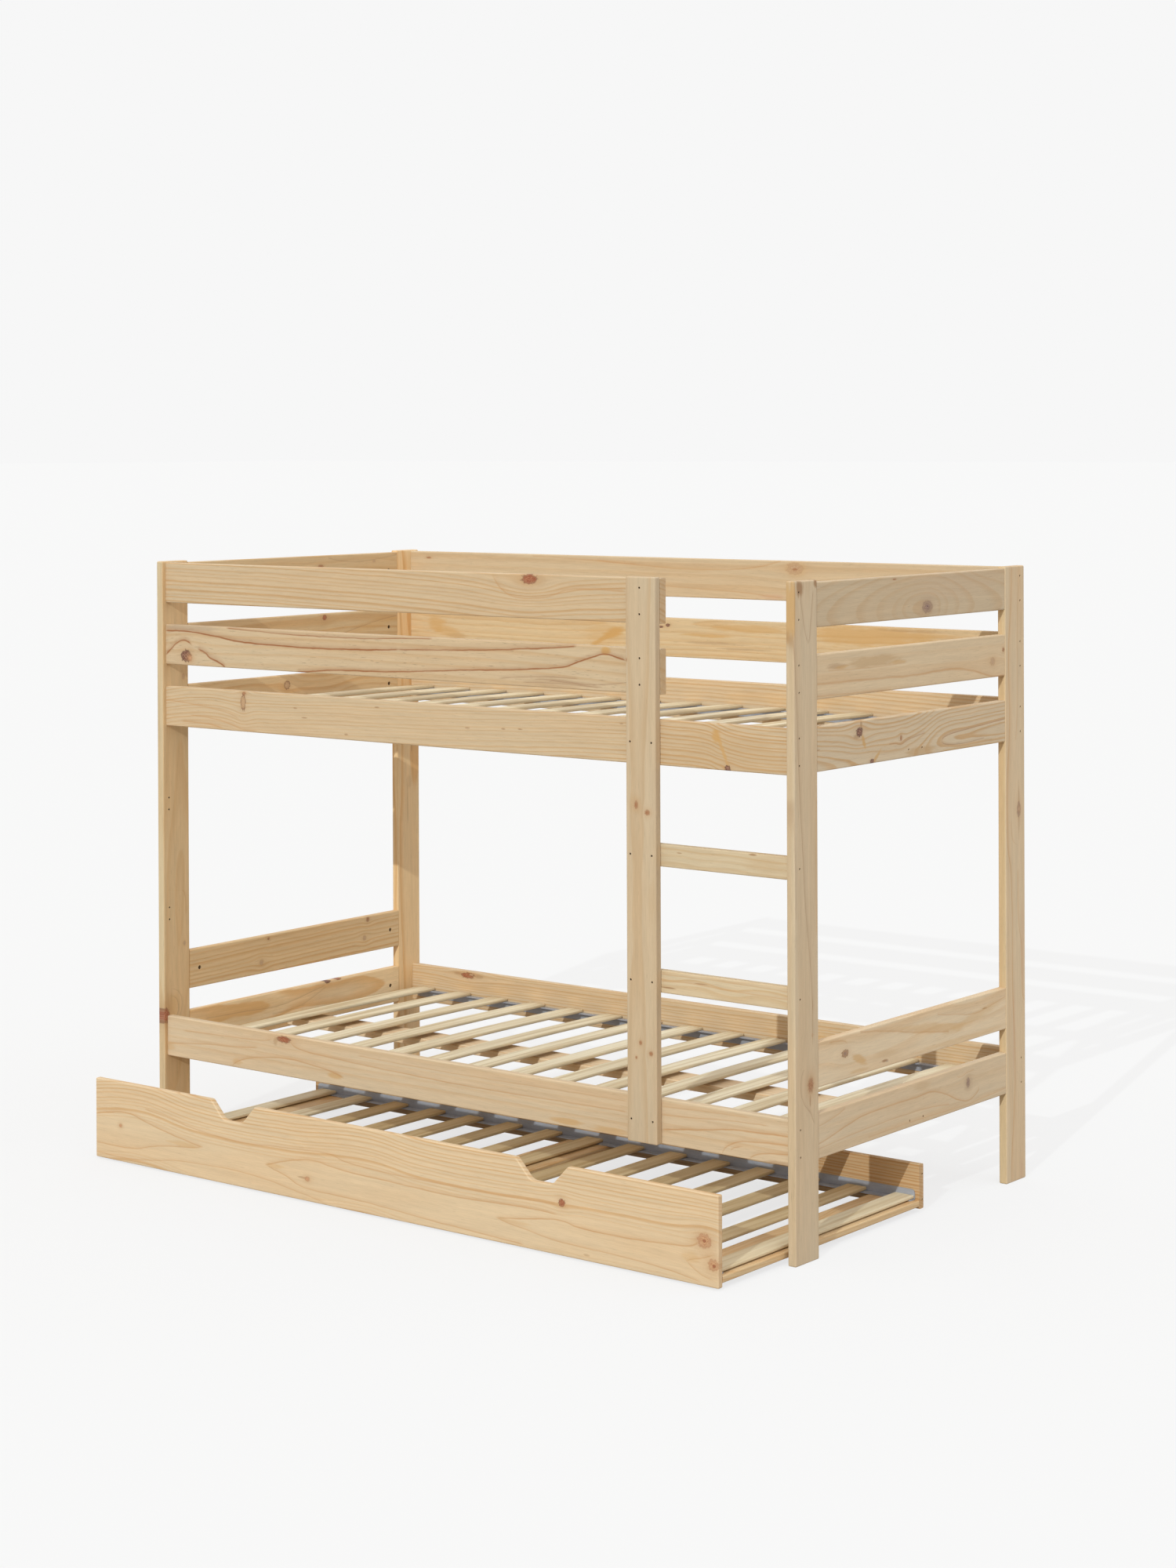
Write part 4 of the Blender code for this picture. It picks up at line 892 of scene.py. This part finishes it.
# Its tone and its bright of 0.89 paint the shade that falls on it under the bed.
LOOKS["trundle_back"] = dict(
    tone="shade_under_bed", ring=7.0, contrast=1.92, wobble=5, bright=0.89,
    pith=[(-950, -50), (950, -60)],
    depth=[(-950, 40), (950, 40)],
)
LOOKS["beam_lower"] = dict(
    tone="milk", bright=1.25, contrast=0.72,
)
LOOKS["beam_upper"] = dict(
    tone="milk", bright=1.1, contrast=0.72,
)
for part in ("left", "middle", "right"):
    LOOKS[f"trundle_board_{part}"] = dict(tone="honey", contrast=0.96, holes=0)


def make_boards():
    rows = []
    for end in ("front", "rear"):
        rows += [(f"leg_{end}_{side}", "Z", "X") for side in ("left", "right")]
        rows += [(f"{end}_{part}", "X", "Y") for part in ("guard_top", "guard_mid", "bed_rail", "low_rail")]
    for side in ("left", "right"):
        rows += [(f"{side}_end_{part}", "Y", "X") for part in ("top", "mid", "bed", "head", "low")]
    rows += [("beam_lower", "X", "Z"), ("beam_upper", "X", "Z"), ("ladder_post", "Z", "Y")]
    rows += [("rung_lower", "X", "Y"), ("rung_upper", "X", "Y")]
    rows += [("trundle_front", "X", "Y"), ("trundle_back", "X", "Y")]
    rows += [(f"trundle_board_{part}", "Y", "Z") for part in ("left", "middle", "right")]
    for number, (name, grain, face) in enumerate(rows):
        dress_board(name, grain, face, FIRST_SEED + number)


# Slats, steel angles and castors

TINY = 1e-5
SMOOTH_BELOW = 32
LONG_EDGE_STEPS = 5
END_EDGE_STEPS = 2
CORNER_STEPS = 6
SLAT_WIDE = 0.053
SLAT_THICK = 0.008
SLAT_HALF = 0.449
SLAT_ROUNDING = 0.003
SLAT_END_ROUNDING = 0.0012
SLAT_BOW = 0.004
SLAT_BOW_STEPS = 10
FIRST_SLAT = -0.926
BED_SLATS = 14
BED_SLAT_PITCH = 0.1313
TRUNDLE_SLATS = 15
TRUNDLE_SLAT_PITCH = 0.1293
SLAT_SEAT = 0.0075
ANGLE_THICK = 0.002
ANGLE_SHELF = 0.020
ANGLE_UPRIGHT = 0.022
ANGLE_BEND = 0.0025
ANGLE_CORNER = 0.008
ANGLE_HALF = 0.940
RAIL_INNER_Y = 0.4517
BEND_STEPS = 4
SLAT_PALE = (0.840, 0.760, 0.570)
SLAT_DEEP = (0.580, 0.450, 0.260)
# Painted shade: the slats' sides are mixed towards this darker colour.
SLAT_SIDE_SHADE = (0.690, 0.560, 0.360)
SLAT_LINE = (0.600, 0.430, 0.220)
# Painted shade: tint of the trundle slats that lie under the bed; the pale ones listed next keep the plain
# colour.
TRUNDLE_SLAT_SHADE = (0.85, 0.75, 0.60)
PALE_TRUNDLE_SLATS = (1, 2, 15)
BED_SLAT_SPREAD = 0.15
TRUNDLE_SLAT_SPREAD = 0.55
# Dark and light colour, roughness, how metallic, and the noise of the rolling marks
STEEL = ((0.180, 0.190, 0.215), (0.500, 0.525, 0.590), 0.45, 0.10, (30.0, 900.0, 2.0, 0.5))
ZINC = ((0.380, 0.380, 0.385), (0.560, 0.560, 0.565), 0.35, 1.0, (300.0, 300.0, 2.0, 0.5))
NYLON = ((0.030, 0.030, 0.033), (0.070, 0.070, 0.075), 0.45, 0.0, (500.0, 500.0, 2.0, 0.5))

# Shading of the slats and the metal; a slat's own draw begins a little before its edge
SLAT_LEAD = 0.02
UPPER_BUNK = 0.7
UPPER_NUMBERS = 31.0
SLAT_OFFSET = 40.0
SLAT_STREAK_SPAN = (0.35, 0.75)
SLAT_LINES = 260.0
SLAT_LINES_DEEP = 120.0
SLAT_LINES_SWAY = 9.0
SLAT_LINES_SHARP = 4.0
SLAT_LINES_SHARE = 0.55
SLAT_SIDE_SHADE_SPAN = (0.3, 0.95)
SLAT_SIDE_SHADE_SHARE = 0.75
SLAT_END_SPAN = (0.7, 0.98)
SLAT_END_SHARE = 0.5
SLAT_LIGHT = (0.28, 0.86)
SLAT_ROUGH = (0.2, 0.5)
SLAT_BUMP = (0.2, 0.0005)
MARKS_SHARE = 0.4
CLOUD_SHARE = 0.7
GLOSS_CHANGE = 0.22
METAL_BUMP = (0.15, 0.0003)


def bevel(bm, edges, offset, segments):
    bmesh.ops.bevel(bm, geom=edges, offset=offset, segments=segments, profile=0.5, affect="EDGES")


def slat_mesh(name, centre):
    """A sprung slat along Y: its long edges rounded, its ends eased, and bowed up in the middle."""
    bm = bmesh.new()
    bmesh.ops.create_cube(bm, size=1)
    bmesh.ops.scale(bm, vec=(SLAT_WIDE, 2 * SLAT_HALF, SLAT_THICK), verts=bm.verts)
    bevel(bm, [edge for edge in bm.edges if edge.calc_length() > SLAT_HALF], SLAT_ROUNDING, LONG_EDGE_STEPS)
    limit = SLAT_HALF - TINY
    ring = [edge for edge in bm.edges if all(abs(vert.co.y) > limit for vert in edge.verts)]
    bevel(bm, ring, SLAT_END_ROUNDING, END_EDGE_STEPS)
    for step in range(1, SLAT_BOW_STEPS):
        cut = (0, SLAT_HALF * (2 * step / SLAT_BOW_STEPS - 1), 0)
        geometry = bm.verts[:] + bm.edges[:] + bm.faces[:]
        bmesh.ops.bisect_plane(bm, geom=geometry, plane_co=cut, plane_no=(0, 1, 0))
    for vert in bm.verts:
        vert.co.z += SLAT_BOW * (1 - (vert.co.y / SLAT_HALF) ** 2)
    bmesh.ops.translate(bm, vec=centre, verts=bm.verts)
    return smooth_mesh(bm, name)


def smooth_mesh(bm, name):
    mesh = bpy.data.meshes.new(name)
    bm.to_mesh(mesh)
    bm.free()
    for polygon in mesh.polygons:
        polygon.use_smooth = True
    mesh.set_sharp_from_angle(angle=math.radians(SMOOTH_BELOW))
    return mesh


def arc(centre, radius, first, last):
    """Points round a bend, from the first angle in degrees to the last."""
    points = []
    for step in range(BEND_STEPS + 1):
        angle = math.radians(first + (last - first) * step / BEND_STEPS)
        points.append((centre + radius * math.cos(angle), -centre + radius * math.sin(angle)))
    return points


def angle_mesh(name, side, shelf_top):
    """A bent steel angle whose shelf points to the bed's middle, with rounded free corners."""
    centre = ANGLE_THICK + ANGLE_BEND
    outline = [(ANGLE_SHELF, 0.0), (ANGLE_SHELF, -ANGLE_THICK)]
    outline += arc(centre, ANGLE_BEND, 90, 180)
    outline += [(ANGLE_THICK, -ANGLE_UPRIGHT), (0.0, -ANGLE_UPRIGHT)]
    outline += arc(centre, centre, 180, 90)
    bm = bmesh.new()
    rings = []
    for x in (-ANGLE_HALF, ANGLE_HALF):
        rings.append([bm.verts.new((x, side * (RAIL_INNER_Y - inward), up)) for inward, up in outline])
    count = len(outline)
    for index in range(count):
        after = (index + 1) % count
        bm.faces.new((rings[0][index], rings[0][after], rings[1][after], rings[1][index]))
    bm.faces.new(rings[0])
    bm.faces.new(rings[1])
    bmesh.ops.recalc_face_normals(bm, faces=bm.faces)
    bevel(bm, [edge for edge in bm.edges if free_corner(edge, side)], ANGLE_CORNER, CORNER_STEPS)
    bmesh.ops.translate(bm, vec=(0, FRAME_MIDDLE[1], shelf_top), verts=bm.verts)
    return smooth_mesh(bm, name)


def free_corner(edge, side):
    """Whether an edge crosses the thickness at a flange's outer corner."""
    ends = [vert.co for vert in edge.verts]
    if abs(ends[0].x - ends[1].x) > TINY:
        return False
    on_shelf = all(abs(RAIL_INNER_Y - side * end.y - ANGLE_SHELF) < TINY for end in ends)
    on_upright = all(abs(end.z + ANGLE_UPRIGHT) < TINY for end in ends)
    return on_shelf or on_upright


def slat_material(name, pitch, spread, tint=(1.0, 1.0, 1.0)):
    """Pale, straight-grained slats: which slat a point is on picks its tone and its own grain, and the
    sides get painted shade.
    """
    material, graph = new_material(name)
    source = graph.node("TexCoord").outputs
    place = source["Object"]
    across, deep = graph.split(place)[0::2]
    which = graph.math("FLOOR", graph.math("DIVIDE", graph.minus(across, FIRST_SLAT - SLAT_LEAD), pitch))
    which = graph.linear(graph.math("GREATER_THAN", deep, UPPER_BUNK), UPPER_NUMBERS, which)
    red, green, blue = graph.split(graph.draw(which)["Color"])
    own = graph.join(graph.times(red, SLAT_OFFSET), graph.times(green, SLAT_OFFSET), blue)
    sway = graph.grain(place, SLAT_SWAY, own, axis=1)
    fibre = graph.grain(place, SLAT_FIBRE, own, axis=1)
    streak = graph.grain(place, SLAT_STREAK, own, axis=1)
    lines = graph.linear(across, SLAT_LINES, graph.times(sway, SLAT_LINES_SWAY))
    lines = graph.plus(lines, graph.times(deep, SLAT_LINES_DEEP))
    lines = graph.math("SINE", graph.linear(red, SLAT_LINES_SWAY, lines))
    lines = graph.math("POWER", graph.linear(lines, 0.5, 0.5), SLAT_LINES_SHARP)
    lines = graph.times(lines, graph.times(green, SLAT_LINES_SHARE))
    colour = graph.mix(graph.step(streak, *SLAT_STREAK_SPAN), SLAT_PALE, SLAT_DEEP)
    colour = graph.mix(graph.times(blue, spread), colour, SLAT_DEEP)
    colour = graph.mix(lines, colour, SLAT_LINE)
    colour = graph.lit(colour, graph.linear(fibre, *SLAT_LIGHT))
    facing = graph.split(source["Normal"])
    # Painted shade: the sides of each slat are darkened.
    side = graph.step(graph.absolute(facing[0]), *SLAT_SIDE_SHADE_SPAN)
    colour = graph.mix(graph.times(side, SLAT_SIDE_SHADE_SHARE), colour, SLAT_SIDE_SHADE)
    end = graph.step(graph.absolute(facing[1]), *SLAT_END_SPAN)
    colour = graph.mix(graph.times(end, SLAT_END_SHARE), colour, SLAT_LINE)
    # The tint, where one is given, paints shade: it darkens and warms the slats that lie under the bed.
    colour = graph.vector("MULTIPLY", colour, tint)
    shader = graph.finish(colour, graph.linear(fibre, *SLAT_ROUGH), fibre, SLAT_BUMP)
    shader.inputs["Specular IOR Level"].default_value = WOOD_GLOSS
    return material


def metal_material(name, dark, light, rough, metallic, marks):
    """Metal or plastic with soft blotches, fine rolling marks and uneven gloss."""
    material, graph = new_material(name)
    place = graph.node("TexCoord").outputs["Object"]
    cloud = graph.grain(place, METAL_CLOUD)
    marks = graph.grain(place, marks)
    share = graph.linear(marks, MARKS_SHARE, graph.times(cloud, CLOUD_SHARE), clamp=True)
    gloss = graph.linear(cloud, GLOSS_CHANGE, rough - GLOSS_CHANGE / 2)
    shader = graph.finish(graph.mix(share, dark, light), gloss, marks, METAL_BUMP)
    shader.inputs["Metallic"].default_value = metallic
    return material


def add_piece(name, mesh, material, slot, body, *stands_for):
    mesh.materials.append(material)
    piece = bpy.data.objects.new(name, mesh)
    bpy.context.scene.collection.objects.link(piece)
    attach(piece, body)
    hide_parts(*stands_for)


def make_bed_bases(slat_wood, steel):
    """The 14 slats and 2 angles of each bunk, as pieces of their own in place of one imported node."""
    for bunk in ("lower", "upper"):
        node = f"{bunk}_slat_base"
        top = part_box(node)[1].z
        for number in range(BED_SLATS):
            name = f"{bunk}_slat_{number + 1:02d}"
            middle = FIRST_SLAT + BED_SLAT_PITCH * number + SLAT_WIDE / 2
            mesh = slat_mesh(name, (middle, FRAME_MIDDLE[1], top - SLAT_THICK / 2))
            add_piece(name, mesh, slat_wood, "slat_birch", "frame", node)
        for side_name, side in (("front", -1), ("rear", 1)):
            name = f"{bunk}_angle_{side_name}"
            add_piece(name, angle_mesh(name, side, top - SLAT_SEAT), steel, "angle_steel", "frame", node)


def make_slats_and_metal():
    steel = metal_material("blue_zinc", *STEEL)
    make_bed_bases(slat_material("bed_slats", BED_SLAT_PITCH, BED_SLAT_SPREAD), steel)
    trundle = (TRUNDLE_SLAT_PITCH, TRUNDLE_SLAT_SPREAD)
    pale = slat_material("trundle_slats_pale", *trundle)
    # The slats under the bed get a darker, warmer tint as painted shade.
    warm = slat_material("trundle_slats_painted_shade", *trundle, TRUNDLE_SLAT_SHADE)
    for number in range(1, TRUNDLE_SLATS + 1):
        dress(f"trundle_slat_{number:02d}", pale if number in PALE_TRUNDLE_SLATS else warm)
    for side in ("front", "back"):
        dress(f"trundle_angle_{side}", steel)
    bright = metal_material("castor_zinc", *ZINC)
    nylon = metal_material("castor_nylon_black", *NYLON)
    for end in ("front", "rear"):
        for side in ("left", "right"):
            dress(f"castor_housing_{end}_{side}", bright)
            dress(f"castor_wheel_{end}_{side}", nylon)


# Floor, light and camera


def show(graph, plain, seen, output):
    """Lights things with the plain shader, and shows the camera, a gloss or glass the seen one."""
    path = graph.node("LightPath").outputs
    share = graph.math("MAXIMUM", path["Is Camera Ray"], path["Is Glossy Ray"])
    share = graph.math("MAXIMUM", share, path["Is Transmission Ray"])
    both = graph.node("MixShader", {0: share, 1: plain.outputs[0], 2: seen.outputs[0]})
    graph.node(output, {"Surface": both.outputs[0]})


def make_floor():
    mesh = bpy.data.meshes.new("floor")
    half = FLOOR_SIZE / 2
    corners = [(-half, -half, 0), (half, -half, 0), (half, half, 0), (-half, half, 0)]
    mesh.from_pydata(corners, [], [(0, 1, 2, 3)])
    floor = bpy.data.objects.new("floor", mesh)
    bpy.context.scene.collection.objects.link(floor)
    material, graph = new_material("floor_paint")
    graph.tree.nodes.clear()
    plain = graph.node("BsdfDiffuse", {"Color": FLOOR_COLOUR})
    shade = graph.node("BsdfDiffuse", {"Color": (FLOOR_SEEN_SHARE,) * 3})
    glow = graph.node("Emission", {"Color": FLOOR_SEEN_GLOW, "Strength": 1.0})
    seen = graph.node("AddShader", {0: shade.outputs[0], 1: glow.outputs[0]})
    show(graph, plain, seen, "OutputMaterial")
    mesh.materials.append(material)


def make_world():
    """A warm fill, cooler from the right and stronger from above, behind a plain pale background."""
    world = bpy.data.worlds.new("studio")
    bpy.context.scene.world = world
    world.use_nodes = True
    graph = Graph(world.node_tree)
    graph.tree.nodes.clear()
    way = graph.split(graph.node("TexCoord").outputs["Generated"])
    tint = graph.mix(graph.step(way[0], *FILL_TURN), FILL_WARM, FILL_COOL)
    strength = graph.linear(graph.math("MAXIMUM", way[2], 0.0), FILL_RISE, FILL_LOW)
    fill = graph.node("Background", {"Color": tint, "Strength": strength})
    seen = graph.node("Background", {"Color": (BACKGROUND,) * 3, "Strength": 1.0})
    show(graph, fill, seen, "OutputWorld")


def make_key():
    lamp = bpy.data.lights.new("key", "SUN")
    lamp.energy = KEY_STRENGTH
    lamp.color = KEY_COLOUR
    lamp.angle = math.radians(KEY_SIZE)
    key = bpy.data.objects.new("key", lamp)
    key.rotation_euler = Vector(KEY_FROM).to_track_quat("Z", "Y").to_euler()
    bpy.context.scene.collection.objects.link(key)


def make_camera():
    view = bpy.data.cameras.new("camera")
    view.lens = CAMERA_LENS
    view.sensor_width = CAMERA_SENSOR
    view.shift_x, view.shift_y = CAMERA_SHIFT
    view.clip_end = 2 * FLOOR_SIZE
    camera = bpy.data.objects.new("camera", view)
    turn = Matrix.Rotation(math.radians(CAMERA_YAW), 4, "Z")
    turn = turn @ Matrix.Rotation(math.radians(90 + CAMERA_PITCH), 4, "X")
    turn = turn @ Matrix.Rotation(math.radians(CAMERA_ROLL), 4, "Z")
    camera.matrix_world = Matrix.Translation(CAMERA_PLACE) @ turn
    bpy.context.scene.collection.objects.link(camera)
    bpy.context.scene.camera = camera


make_boards()
make_slats_and_metal()
make_floor()
make_world()
make_key()
make_camera()
bpy.context.scene.view_settings.view_transform = "Standard"
